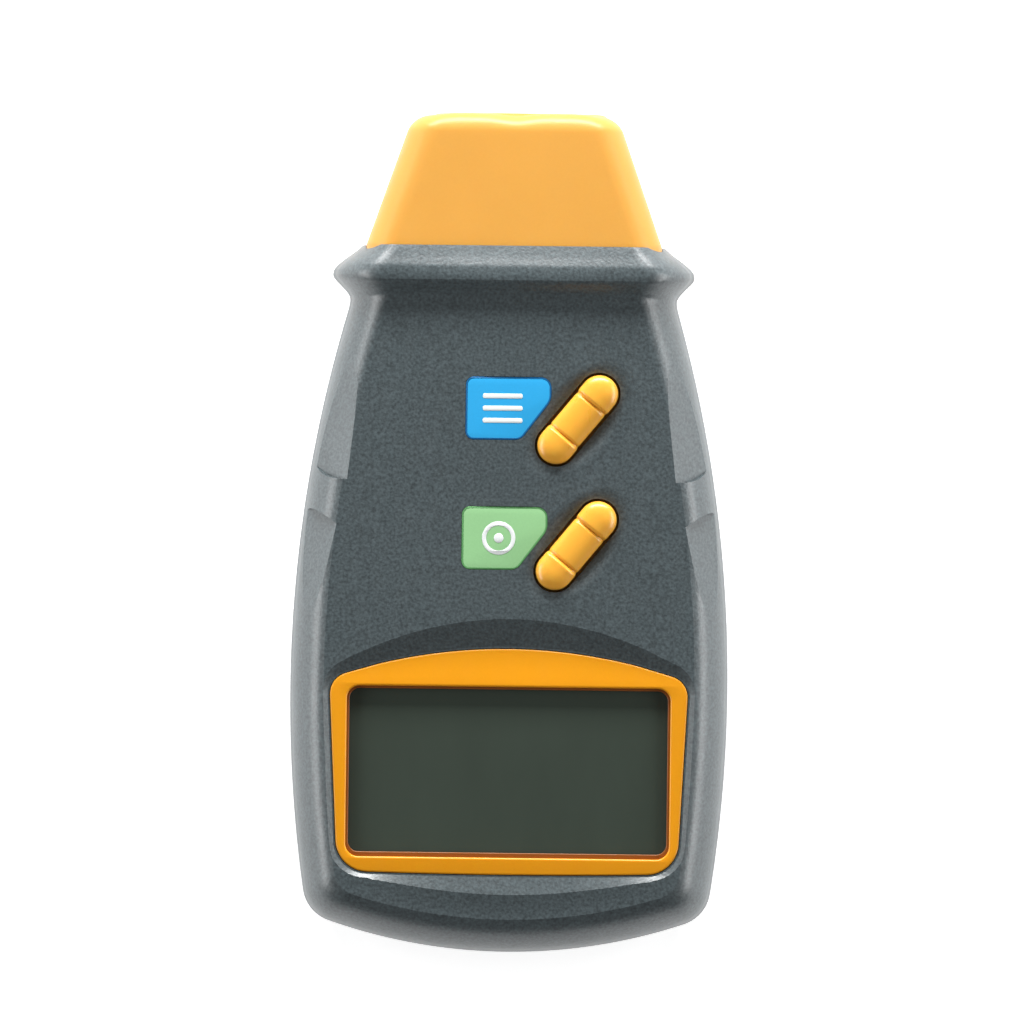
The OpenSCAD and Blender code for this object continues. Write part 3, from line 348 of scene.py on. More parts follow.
class Finish(Enum):
    """Every finish on the instrument."""

    HOUSING = Moulded("housing_grey", srgb(69, 79, 82), 0.4, 0.45, 0.02, 0.42, specular=1.0)
    HOOD = Moulded("hood_amber", srgb(213, 155, 70), 0.36, 0.35, 0.003, 0.012, 0.0, 0.25, 0.05, 0.4)
    BEZEL = Moulded("bezel_orange", srgb(232, 153, 12), 0.36, 0.35, 0.003, 0.012, 0.15, 0.12, 0.08)
    KEY = Moulded("key_orange", srgb(246, 178, 62), 0.3, 0.4, 0.002, 0.01, 0.25, 0.25, 0.05)
    BLUE = Moulded("label_blue", srgb(45, 168, 228), 0.42, 0.3, 0.002, 0.02, 0.0, 0.0, 0.0)
    GREEN = Moulded("label_green", srgb(150, 202, 144), 0.42, 0.3, 0.002, 0.02, 0.0, 0.0, 0.0)
    WHITE = Moulded("label_white", srgb(236, 240, 240), 0.45, 0.3, 0.002, 0.01, 0.0, 0.0, 0.0)
    BLUE_RIM = Moulded("label_blue_rim", srgb(16, 96, 150), 0.42, 0.3, 0.002, 0.02, 0.0, 0.0, 0.0)
    GREEN_RIM = Moulded("label_green_rim", srgb(92, 150, 92), 0.42, 0.3, 0.002, 0.02, 0.0, 0.0, 0.0)
    BLACK = Moulded("black_plastic", srgb(30, 32, 34), 0.5, 0.3, 0.008, 0.05)
    RUBBER = Moulded("elastomer", srgb(196, 190, 205), 0.6, 0.5, 0.004, 0.06)
    RESIN = Moulded("epoxy_black", srgb(18, 18, 20), 0.2, 2.0, 0.02, 0.05, 0.3)
    FILM = Moulded("insulating_film", srgb(224, 214, 170), 0.35, 1.0, 0.004, 0.04)
    PLUNGER = Moulded("plunger_white", srgb(224, 222, 214), 0.4, 0.3, 0.004, 0.03)
    SLEEVE = Moulded("capacitor_sleeve", srgb(38, 56, 108), 0.28, 0.8, 0.004, 0.04, 0.2)
    LEAD_RED = Moulded("lead_red", srgb(172, 34, 30), 0.36, 0.4, 0.004, 0.04)
    LEAD_BLACK = Moulded("lead_black", srgb(24, 24, 26), 0.36, 0.4, 0.004, 0.04)
    REFLECTOR = Moulded("reflector", srgb(120, 128, 116), 0.45, 0.3, 0.002, 0.04)
    WRAP = Metal("battery_wrap", srgb(96, 104, 116), 0.34)
    BOARD = CircuitBoard("board_green", srgb(28, 98, 62))
    PANE = ClearSheet("window_smoke", srgb(70, 80, 71), 0.04, 0.3)
    SHADE = Moulded("bezel_shade", srgb(138, 78, 22), 0.4, 0.35, 0.003, 0.03)
    CELL = ClearSheet("lcd_glass", srgb(196, 206, 200), 0.02, 1.0, 1.5)
    POLARISER = Moulded("polariser", srgb(134, 136, 122), 0.4, 0.6, 0.001, 0.03, 0.5)
    LENS = ClearSheet("lens_glass", srgb(232, 238, 242), 0.01, 1.0, 1.52)
    RED_GLASS = ClearSheet("red_glass", srgb(190, 30, 24), 0.02)
    STEEL = Metal("screw_steel", srgb(176, 178, 182), 0.32)
    CAN = Metal("steel_can", srgb(196, 198, 202), 0.26)
    NICKEL = Metal("contact_nickel", srgb(214, 216, 220), 0.16)
    BRASS = Metal("brass", srgb(206, 168, 92), 0.26, (1, 0.1, 1))

    @property
    def slot(self) -> str:
        """The material slot of this finish."""
        other = {"label_white": "label_blue", "label_blue_rim": "label_blue", "label_green_rim": "label_green",
                 "bezel_shade": "bezel_orange"}
        return other.get(self.value.name, self.value.name)


class Paints:
    """The materials that have been made, one for each finish."""

    made: dict[str, bpy.types.Material] = {}

    @classmethod
    def get(cls, finish: Finish) -> bpy.types.Material:
        """The finish's material, made when it is first asked for.

        Args:
            finish: the finish.

        Returns:
            The material.
        """
        if finish.name not in cls.made:
            cls.made[finish.name] = finish.value.build()
        return cls.made[finish.name]


def quads(rows: int, columns: int, base: int = 0, around: bool = False, over: bool = False) -> list[list[int]]:
    """The faces of a grid of points.

    Args:
        rows, columns: the grid's size.
        base: the first point's number.
        around: whether the last column joins the first.
        over: whether the last row joins the first.

    Returns:
        The faces' corner numbers.
    """
    def at(i: int, k: int) -> int:
        """The number of a point."""
        return base + i % rows * columns + k % columns

    return [[at(i, k), at(i, k + 1), at(i + 1, k + 1), at(i + 1, k)]
            for i in range(rows - (not over)) for k in range(columns - (not around))]


def mesh_object(name: str, points: np.ndarray, faces: Sequence[Sequence[int]]) -> bpy.types.Object:
    """A mesh object, linked to the scene, with its faces turned outwards.

    Args:
        name: the object's name.
        points: rows of x, y and z in mm.
        faces: the corner numbers of each face.

    Returns:
        The object.
    """
    mesh = bpy.data.meshes.new(name)
    mesh.from_pydata((np.asarray(points, float) * MM).tolist(), [], [list(f) for f in faces])
    tidy(mesh)
    return placed(name, mesh)


def placed(name: str, data: bpy.types.ID) -> bpy.types.Object:
    """A new object of some data, linked to the scene."""
    obj = bpy.data.objects.new(name, data)
    bpy.context.collection.objects.link(obj)
    return obj


def tidy(mesh: bpy.types.Mesh, merge: float = 0.002) -> None:
    """Merges doubles and turns every face outwards.

    Args:
        mesh: the mesh.
        merge: the distance in mm below which points become one.
    """
    work = bmesh.new()
    work.from_mesh(mesh)
    bmesh.ops.remove_doubles(work, verts=work.verts, dist=merge * MM)
    bmesh.ops.recalc_face_normals(work, faces=work.faces)
    work.to_mesh(mesh)
    work.free()


def finish_piece(
    obj: bpy.types.Object, finish: Finish, body: Body, replaces: Sequence[str] = (), angle: float = 32.0
) -> bpy.types.Object:
    """Gives a piece its finish, its shading and its body.

    Args:
        obj: the piece.
        finish: its finish.
        body: the body it rides on.
        replaces: the CAD nodes it stands for.
        angle: the edge angle in degrees above which shading breaks.

    Returns:
        The piece.
    """
    obj.data.materials.clear()
    obj.data.materials.append(Paints.get(finish))
    obj.data.polygons.foreach_set("use_smooth", [True] * len(obj.data.polygons))
    obj.data.set_sharp_from_angle(angle=math.radians(angle))
    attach(obj, body.value)
    finish.slot
    if replaces:
        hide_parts(*replaces)
    LOG.info("%s: %d faces", obj.name, len(obj.data.polygons))
    return obj


def evaluated_mesh(obj: bpy.types.Object) -> bpy.types.Mesh:
    """The mesh that an object's modifiers or curve give."""
    graph = bpy.context.evaluated_depsgraph_get()
    graph.update()
    return bpy.data.meshes.new_from_object(obj.evaluated_get(graph))


def reshape(obj: bpy.types.Object, merge: float = 0.0) -> None:
    """Puts what an object's modifiers give in place of its mesh, without the modifiers.

    Args:
        obj: the object.
        merge: the distance in mm below which points become one, if any.
    """
    mesh, old = evaluated_mesh(obj), obj.data
    obj.modifiers.clear()
    if len(mesh.polygons) == 0:
        raise RuntimeError(f"{obj.name}: nothing is left of it")
    obj.data = mesh
    bpy.data.meshes.remove(old)
    if merge:
        tidy(mesh, merge)


def carve(target: bpy.types.Object, tool: bpy.types.Object, cut: Cut = Cut.DIFFERENCE) -> None:
    """Cuts or joins a solid with another, which is then removed.

    Args:
        target: the solid that stays.
        tool: the solid that cuts or is joined.
        cut: which of the two.
    """
    modifier = target.modifiers.new("carve", "BOOLEAN")
    modifier.operation = cut.value
    modifier.object = tool
    modifier.solver = "MANIFOLD"
    reshape(target)
    bpy.data.objects.remove(tool)


def mix(a: float, b: float, t: float) -> float:
    """The value between a and b at a share."""
    return a + (b - a) * t


def ramp(t: np.ndarray | float) -> np.ndarray | float:
    """A smooth step from 0 to 1."""
    u = np.clip(t, 0.0, 1.0)
    return u * u * (3 - 2 * u)


def soft_min(a: np.ndarray, b: np.ndarray, k: float) -> np.ndarray:
    """The smaller of two heights, rounded where they meet.

    Args:
        a, b: the heights.
        k: the size of the rounding.

    Returns:
        The blended height.
    """
    h = np.clip(0.5 + 0.5 * (b - a) / k, 0.0, 1.0)
    return b * (1 - h) + a * h - k * h * (1 - h)


def through(x: np.ndarray, table: Sequence[tuple[float, float]]) -> np.ndarray:
    """A smooth curve through a table of places and values, without overshoot.

    Args:
        x: where it is read.
        table: rising places, each with its value.

    Returns:
        The values.
    """
    xs, ys = np.array(table).T
    step, rise = np.diff(xs), np.diff(ys) / np.diff(xs)
    inner = np.where(rise[:-1] * rise[1:] > 0, 2 * rise[:-1] * rise[1:] / (rise[:-1] + rise[1:] + 1e-12), 0.0)
    slope = np.concatenate([[rise[0]], inner, [rise[-1]]])
    i = np.clip(np.searchsorted(xs, x) - 1, 0, len(step) - 1)
    t = np.clip((x - xs[i]) / step[i], 0, 1)
    return (ys[i] * (1 + 2 * t) * (1 - t) ** 2 + ys[i + 1] * t * t * (3 - 2 * t)
            + step[i] * (slope[i] * t * (1 - t) ** 2 - slope[i + 1] * t * t * (1 - t)))


def fillet(a: Sequence[float], b: Sequence[float], c: Sequence[float], r: float, n: int) -> Outline:
    """An arc that rounds the corner b between a and c.

    Args:
        a, b, c: the points before, at and after the corner.
        r: the radius.
        n: how many steps the arc has.

    Returns:
        The arc's points.
    """
    pa, pb, pc = (np.array(p, float) for p in (a, b, c))
    u, v = (pa - pb) / np.linalg.norm(pa - pb), (pc - pb) / np.linalg.norm(pc - pb)
    half = math.acos(float(np.clip(u @ v, -1, 1))) / 2
    middle = pb + (u + v) / np.linalg.norm(u + v) * r / math.sin(half)
    p1, p2 = pb + u * r / math.tan(half) - middle, pb + v * r / math.tan(half) - middle
    start = math.atan2(p1[1], p1[0])
    sweep = (math.atan2(p2[1], p2[0]) - start + 3 * math.pi) % (2 * math.pi) - math.pi
    return [tuple(middle + r * np.array([math.cos(start + sweep * i / n), math.sin(start + sweep * i / n)]))
            for i in range(n + 1)]


def rounded_box(w: float, h: float, r: float, n: int = 10, at: tuple[float, float] = (0, 0)) -> Outline:
    """A rounded rectangle.

    Args:
        w, h: its width and height.
        r: its corner radius.
        n: the steps of each corner.
        at: its middle.

    Returns:
        Its points, anticlockwise.
    """
    corners = [(w / 2, h / 2), (-w / 2, h / 2), (-w / 2, -h / 2), (w / 2, -h / 2)]
    points: Outline = []
    for i in range(4):
        points += fillet(corners[i - 1], corners[i], corners[(i + 1) % 4], r, n)
    return [(x + at[0], y + at[1]) for x, y in points]


def turned(points: Outline, angle: float, at: tuple[float, float]) -> Outline:
    """An outline turned by degrees about the origin and then moved."""
    c, s = math.cos(math.radians(angle)), math.sin(math.radians(angle))
    return [(x * c - y * s + at[0], x * s + y * c + at[1]) for x, y in points]


def flat_piece(name: str, outlines: Sequence[Outline], low: float, high: float, bevel: float) -> bpy.types.Object:
    """A plate with softened edges, and with holes where outlines lie inside another.

    Args:
        name: the object's name.
        outlines: the outer outline and any holes, in mm.
        low, high: its lowest and highest z in mm.
        bevel: the radius of its edges in mm.

    Returns:
        The object.
    """
    curve = bpy.data.curves.new(name, "CURVE")
    curve.dimensions = "2D"
    curve.fill_mode = "BOTH"
    curve.extrude = ((high - low) / 2 - bevel) * MM
    curve.bevel_depth = bevel * MM
    curve.bevel_resolution = 3
    curve.offset = -bevel * MM
    for outline in outlines:
        spline = curve.splines.new("POLY")
        spline.points.add(len(outline) - 1)
        spline.points.foreach_set("co", [v for x, y in outline for v in (x * MM, y * MM, 0.0, 1.0)])
        spline.use_cyclic_u = True
    source = placed(name + "_curve", curve)
    mesh = evaluated_mesh(source)
    bpy.data.objects.remove(source)
    bpy.data.curves.remove(curve)
    mesh.name = name
    for vertex in mesh.vertices:
        vertex.co.z += (low + high) / 2 * MM
    tidy(mesh, 0.004)
    return placed(name, mesh)


def between(name: str, low: np.ndarray, high: np.ndarray) -> bpy.types.Object:
    """A solid between two flat outlines with as many points each, in mm."""
    n = len(low)
    faces = [list(range(n)), list(range(n, 2 * n)), *quads(2, n, around=True)]
    return mesh_object(name, np.concatenate([low, high]), faces)


def prism(name: str, outline: Outline, low: float, high: float) -> bpy.types.Object:
    """A plain upright prism of an outline between two heights, in mm."""
    return between(name, *(np.array([(x, y, z) for x, y in outline]) for z in (low, high)))


def revolved(
    name: str, profile: Sequence[tuple[float, float]], centre: Point, axis: str = "y", steps: int = 96
) -> bpy.types.Object:
    """A solid of revolution.

    Args:
        name: the object's name.
        profile: closed profile of radius and distance along the axis, in mm.
        centre: where the axis starts.
        axis: y or z.
        steps: how many sides it has.

    Returns:
        The object.
    """
    order = [0, 2, 1] if axis == "y" else [0, 1, 2]
    points = [(r * math.cos(a), r * math.sin(a), t)
              for a in (2 * math.pi * i / steps for i in range(steps)) for r, t in profile]
    return mesh_object(name, np.array(centre) + np.array(points)[:, order],
                       quads(steps, len(profile), around=True, over=True))


def rod(name: str, centre: Point, r: float, length: float, axis: str = "y", steps: int = 64) -> bpy.types.Object:
    """A plain round bar from a centre along an axis, in mm."""
    return revolved(name, [(0, 0), (r, 0), (r, length), (0, length)], centre, axis, steps)


def skin(name: str, sections: Sequence[np.ndarray]) -> bpy.types.Object:
    """A closed solid through sections with as many points each, in mm, with flat ends."""
    m, n = len(sections[0]), len(sections)
    faces = quads(n, m, around=True) + [list(range(m)), list(range((n - 1) * m, n * m))]
    return mesh_object(name, np.concatenate(sections), faces)


@dataclass(frozen=True)
class HousingForm:
    """The shared sizes of the housing, and the formulas of its surfaces."""

    length: float = 131.0
    body_w: float = 68.4
    neck_w: float = 51.4
    widest_from_tail: float = 41.0
    tail_radius: float = 86.0
    corner_radius: float = 6.0
    corner_ease: float = 0.3
    wall: float = 2.2
    parting_z: float = 13.5
    parting_cut: float = 0.15
    shoulder_w: float = 5.0
    side_rise: float = 2.9
    side_draft: float = 0.35
    shoulder_end: float = 78.0
    rear_edge: float = 5.0
    face_z: float = 27.0
    face_crown: float = 1.0
    collar_slope: float = 3.5
    collar_crest: float = 0.65
    collar_root: float = 5.6
    collar_lip: float = 1.0
    collar_out: Sequence[tuple[float, float]] = (
        (-10.75, 0.0), (-9.75, 0.02), (-8.75, 0.15), (-8.15, 0.37), (-7.35, 1.07), (-6.55, 2.06), (-5.75, 3.11),
        (-5.15, 3.8), (-4.55, 4.17), (-3.95, 4.24), (-3.35, 4.02), (-2.55, 3.4), (-1.75, 2.62), (-0.95, 1.78),
        (0.0, 1.05))
    collar_up: Sequence[tuple[float, float]] = (
        (-10.15, 0.0), (-9.15, 0.03), (-8.25, 0.12), (-7.55, 0.32), (-6.95, 0.68), (-6.45, 1.14), (-6.0, 1.6),
        (-5.65, 1.88), (-5.25, 1.98), (-4.75, 1.97), (-4.25, 1.91), (-3.75, 1.82), (-3.25, 1.7), (-2.75, 1.48),
        (-1.75, 1.02), (0.0, 0.3))
    collar_round: float = 0.45
    nose_len: float = 20.75
    nose_base_w: float = 46.1
    nose_tip_w: float = 32.0
    nose_drop: float = 0.8
    nose_bottom: float = 3.0
    nose_crown: float = 0.3

    @property
    def tail_y(self) -> float:
        """The tail's place."""
        return -self.length / 2

    @property
    def tip_y(self) -> float:
        """The tip's place."""
        return self.length / 2

    @property
    def seam_y(self) -> float:
        """Where the nose leaves the collar."""
        return self.tip_y - self.nose_len

    @property
    def crest_high_y(self) -> float:
        """The crest's edge on the nose's side."""
        return self.seam_y - self.collar_slope

    @property
    def crest_low_y(self) -> float:
        """The crest's edge on the body's side."""
        return self.crest_high_y - self.collar_crest

    @property
    def foot_y(self) -> float:
        """Where the collar runs out into the body."""
        return self.crest_low_y - self.collar_root

    @property
    def widest_y(self) -> float:
        """The widest place."""
        return self.tail_y + self.widest_from_tail

    @property
    def side_radius(self) -> float:
        """The radius of the long bow of each side."""
        bow = (self.body_w - self.neck_w) / 2
        return ((self.foot_y - self.widest_y) ** 2 + bow ** 2) / (2 * bow)

    @property
    def nose_top(self) -> float:
        """The height of the nose's face at the collar."""
        return self.face_z - self.nose_drop

    @property
    def spring_z(self) -> float:
        """Where the shoulder starts to round."""
        return self.parting_z + self.side_rise

    def root_share(self, y: np.ndarray) -> np.ndarray:
        """The collar's height at a place, as a share of its crest."""
        return ramp((y - self.foot_y) / (self.crest_low_y - self.foot_y))

    def slope_share(self, y: np.ndarray) -> np.ndarray:
        """How far down the slope to the nose a place lies."""
        return np.maximum(0.0, (y - self.crest_high_y) / (self.seam_y - self.crest_high_y))

    def bow_x(self, y: np.ndarray, inset: float) -> np.ndarray:
        """The half width of the bowed side at a place, drawn in by an inset."""
        return (self.body_w / 2 - self.side_radius
                + np.sqrt((self.side_radius - inset) ** 2 - (y - self.widest_y) ** 2))

    def roundness(self, y: np.ndarray) -> np.ndarray:
        """How much wider the shoulder is at the collar's crest."""
        return self.collar_round * self.root_share(y) * (1 - self.slope_share(y))

    def collar_x(self, y: np.ndarray) -> np.ndarray:
        """How far the collar stands out from the side."""
        return through(y - self.seam_y, self.collar_out)

    def face_top(self, y: np.ndarray) -> np.ndarray:
        """The height of the front along its middle line."""
        return self.face_z + through(y - self.seam_y, self.collar_up)

    def crown_at(self, y: np.ndarray) -> np.ndarray:
        """How much the middle of the front stands above its edges."""
        t = ramp((y - self.foot_y) / (self.seam_y - self.foot_y))
        return self.face_crown * (1 - t) + self.nose_crown * t

    def rear_bottom(self, y: np.ndarray) -> np.ndarray:
        """The height of the rear face."""
        return (self.nose_bottom - self.collar_lip) * self.slope_share(y)

    def corner(self, inset: float) -> tuple[np.ndarray, float, float, float]:
        """The arc that rounds a tail corner.

        Args:
            inset: how far the outline is drawn in.

        Returns:
            Its centre, its radius and its two end angles.
        """
        side = np.array([self.body_w / 2 - self.side_radius, self.widest_y])
        tail = np.array([0.0, self.tail_y + self.tail_radius])
        r = self.corner_radius - self.corner_ease * inset
        a, b = self.side_radius - inset - r, self.tail_radius - inset - r
        apart = float(np.linalg.norm(tail - side))
        e = (tail - side) / apart
        along = (a * a - b * b + apart * apart) / (2 * apart)
        centre = side + e * along + np.array([e[1], -e[0]]) * math.sqrt(a * a - along * along)
        v1, v2 = centre - side, centre - tail
        return centre, r, math.atan2(v1[1], v1[0]), math.atan2(v2[1], v2[0])


@dataclass(frozen=True)
class Grip:
    """One flat finger cut in a shoulder, which starts at a step and runs out to a point.

    The plane goes through the step's inner end, its outer end and a place near the point.
    """

    inner: Point
    outer: Point
    tip: Point
    bulge: float = 0.7
    before: float = 3.0
    across: float = 13.0
    along: float = 26.0
    out: float = 6.0
    steps: int = 33

    def tool(self, side: int) -> bpy.types.Object:
        """The solid that cuts the grip of the right (1) or the left (-1) shoulder."""
        a, b, c = (np.array(p) * (side, 1.0, 1.0) for p in (self.inner, self.outer, self.tip))
        width = float(np.linalg.norm(b - a))
        v, u = (b - a) / width, (c - a) / np.linalg.norm(c - a)
        n = np.cross(u, v)
        n *= side * math.copysign(1, n[0]) / np.linalg.norm(n)
        low = []
        for t in np.linspace(-self.before, self.across, self.steps):
            share = np.clip(t / width, 0, 1)
            low.append(a + v * t - u * self.bulge * 4 * share * (1 - share))
        low += [a + v * self.across + u * self.along, a - v * self.before + u * self.along]
        return between("grip", np.array(low), np.array(low) + n * self.out)


@dataclass
class Shell:
    """The outside of one housing half: rings up its side and a patch of rows over its face."""

    form: HousingForm
    front: bool
    head_steps: int = 40
    side_steps: int = 260
    corner_steps: int = 16
    tail_steps: int = 62
    ring_steps: int = 14
    softness: float = 0.25
    sag_at: Sequence[float] = (44.75, 10.0, -5.0, -18.7, -23.0, -36.0, -46.0, -53.5, -57.2)
    sag: Sequence[float] = (0.0, 0.0, 2.0, 5.35, 5.06, 1.5, -2.0, -4.8, -3.2)
    tail_power: int = 24
    crown_fade: float = 9.0
    arc_steps: int = 8
    slices: Sequence[tuple[float, float, int]] = ((0.0, 0.93, 60), (0.94, 0.999, 26))
    least_half: float = 0.3

    def insets(self) -> list[tuple[float, float, float]]:
        """Each ring's inset, starting height and share of the shoulder's turn."""
        f, n = self.form, self.ring_steps
        if self.front:
            end, width, start, sign = math.radians(f.shoulder_end), f.shoulder_w, f.spring_z, 1
        else:
            end, width, start, sign = math.pi / 2, f.rear_edge, f.rear_edge, -1
        rows = [(f.parting_cut, f.parting_z, 0.0), (0.0, f.parting_z + sign * f.parting_cut, 0.0)]
        if self.front:
            rows.append((f.side_draft / 2, (f.parting_z + start) / 2, 0.0))
        rows.append((f.side_draft, start, 0.0))
        rows += [(f.side_draft + width * (1 - math.cos(end * i / n)) / (1 - math.cos(end)), start, i / n)
                 for i in range(1, n + 1)]
        return rows

    def rise(self, share: float, y: np.ndarray) -> np.ndarray:
        """How far up a ring lies, softer at the collar than along the sides.

        Args:
            share: the ring's share of the shoulder's turn.
            y: places along the length.

        Returns:
            The share of the height.
        """
        round_share = math.sin(math.pi / 2 * share)
        if not self.front:
            return np.full_like(y, round_share)
        soft = np.maximum(self.form.root_share(y), self.softness)
        end = math.radians(self.form.shoulder_end)
        return (1 - soft) * math.sin(end * share) / math.sin(end) + soft * round_share

    def edge_z(self, y: np.ndarray) -> np.ndarray:
        """The height of the face's edge."""
        f = self.form
        return f.face_top(y) - f.crown_at(y) if self.front else f.rear_bottom(y)

    def half_outline(self, inset: float) -> np.ndarray:
        """The right half of the outline at an inset, from the seam to the tail's middle."""
        f = self.form
        centre, r, a1, a2 = f.corner(inset)
        to_y = f.widest_y + (f.side_radius - inset) * math.sin(a1)
        ys = np.concatenate([np.linspace(f.seam_y, f.foot_y, self.head_steps + 1),
                             np.linspace(f.foot_y, to_y, self.side_steps + 1)[1:]])
        wide = inset * (1 + f.roundness(ys) * self.front)
        side = np.stack([f.bow_x(ys, wide) + f.collar_x(ys), ys], 1)
        ca = np.linspace(a1, a2, self.corner_steps + 1)[1:]
        corner = centre + r * np.stack([np.cos(ca), np.sin(ca)], 1)
        ta = np.linspace(a2, -math.pi / 2, self.tail_steps + 1)[1:]
        tail = (np.array([0.0, f.tail_y + f.tail_radius])
                + (f.tail_radius - inset) * np.stack([np.cos(ta), np.sin(ta)], 1))
        return np.concatenate([side, corner, tail])

    def face_patch(self, edge: np.ndarray, inset: float) -> np.ndarray:
        """The right half of the face inside its edge.

        Args:
            edge: the points of the last ring.
            inset: that ring's inset.

        Returns:
            Rows of points from the seam to the tail.
        """
        f = self.form
        m = self.head_steps + self.side_steps + self.corner_steps // 2
        low = edge[m:]
        columns = low[:, 0] / low[0, 0]
        bend = 1 - columns ** 2
        weight = np.linspace(0, 1, m + 1) ** self.tail_power
        sag = np.interp(-edge[: m + 1, 1], -np.array(self.sag_at), np.array(self.sag))
        sag = sag * (1 - weight) + (low[-1, 1] - low[0, 1]) * weight
        rest = low[:, 1] - (low[0, 1] + (low[-1, 1] - low[0, 1]) * bend)
        x = edge[: m + 1, 0:1] * columns[None, :]
        y = edge[: m + 1, 1:2] + sag[:, None] * bend[None, :] + rest[None, :] * weight[:, None]
        z = self.edge_z(y)
        if self.front:
            half = np.maximum(f.bow_x(y, inset * (1 + f.roundness(y))) + f.collar_x(y), 1.0)
            from_tail = np.clip(f.tail_radius - inset - np.hypot(x, y - f.tail_y - f.tail_radius), 0, None)
            z = z + f.crown_at(y) * np.clip(1 - (x / half) ** 2, 0, 1) * ramp(from_tail / self.crown_fade)
        patch = np.stack([x, y, z], 2)
        patch[m] = low
        patch[:, 0] = edge[: m + 1]
        return patch

    def build(self, name: str, shape: Callable[[np.ndarray], np.ndarray] | None = None) -> bpy.types.Object:
        """The closed outer solid.

        Args:
            name: the object's name.
            shape: a function that moves all the points to their last places.

        Returns:
            The object.
        """
        rows = self.insets()
        rings = []
        for inset, start, share in rows:
            flat = self.half_outline(inset)
            z = start + (self.edge_z(flat[:, 1]) - start) * self.rise(share, flat[:, 1])
            rings.append(np.column_stack([flat, z]))
        patch = self.face_patch(rings[-1], rows[-1][0])
        tall, wide = patch.shape[:2]
        half = np.concatenate([*rings, patch.reshape(-1, 3)])
        full = np.concatenate([half, half * np.array([-1.0, 1.0, 1.0])])
        if shape is not None:
            full = shape(full)
        count, size = len(rings[0]), len(half)
        base = len(rows) * count
        faces = quads(len(rows), count) + [f[:1] + f[:0:-1] for f in quads(tall, wide, base)]
        faces += [[i + size for i in reversed(f)] for f in faces]
        bottom = list(range(count)) + [size + i for i in range(count - 1, -1, -1)]
        head = [j * count for j in range(len(rows))] + [base + u for u in range(1, wide)]
        head += [size + base + u for u in range(wide - 1, 0, -1)]
        head += [size + j * count for j in range(len(rows) - 1, -1, -1)]
        return mesh_object(name, full, faces + [bottom, head])

    def half_width(self, y: float, inset: float) -> float:
        """The half width of the outline at a place, drawn in by an inset."""
        f = self.form
        centre, r, a1, a2 = f.corner(inset)
        if y >= centre[1] + r * math.sin(a1):
            return float(f.bow_x(y, inset))
        if y >= centre[1] + r * math.sin(a2):
            return centre[0] + math.sqrt(max(0.0, r * r - (y - centre[1]) ** 2))
        chord = (f.tail_radius - inset) ** 2 - (y - f.tail_y - f.tail_radius) ** 2
        return math.sqrt(max(self.least_half ** 2, chord))

    def cavity(self, name: str, low_y: float) -> bpy.types.Object:
        """The closed inner solid that hollows the half.

        Args:
            name: the object's name.
            low_y: where the cavity ends towards the nose.

        Returns:
            The object.
        """
        f, n = self.form, self.arc_steps
        if self.front:
            end, start, sign = math.radians(f.shoulder_end), f.spring_z, 1
            top, width = f.face_z - f.face_crown - f.wall, f.shoulder_w
        else:
            end, start, sign = math.pi / 2, f.rear_edge, -1
            top, width = f.wall, f.rear_edge - f.wall
        rows = [(f.wall, f.parting_z - sign, 0.0), (f.wall + f.side_draft, start, 0.0)]
        rows += [(f.wall + f.side_draft + width * (1 - math.cos(end * i / n)) / (1 - math.cos(end)),
                  start, math.sin(end * i / n) / math.sin(end)) for i in range(1, n + 1)]
        sections = []
        for share in np.concatenate([np.linspace(*part) for part in self.slices]):
            places = [(mix(low_y, f.tail_y + inset, share), inset, z + (top - z) * t) for inset, z, t in rows]
            side = [(self.half_width(y, inset), y, z) for y, inset, z in places]
            sections.append(np.array(side + [(-x, y, z) for x, y, z in reversed(side)]))
        return skin(name, sections)


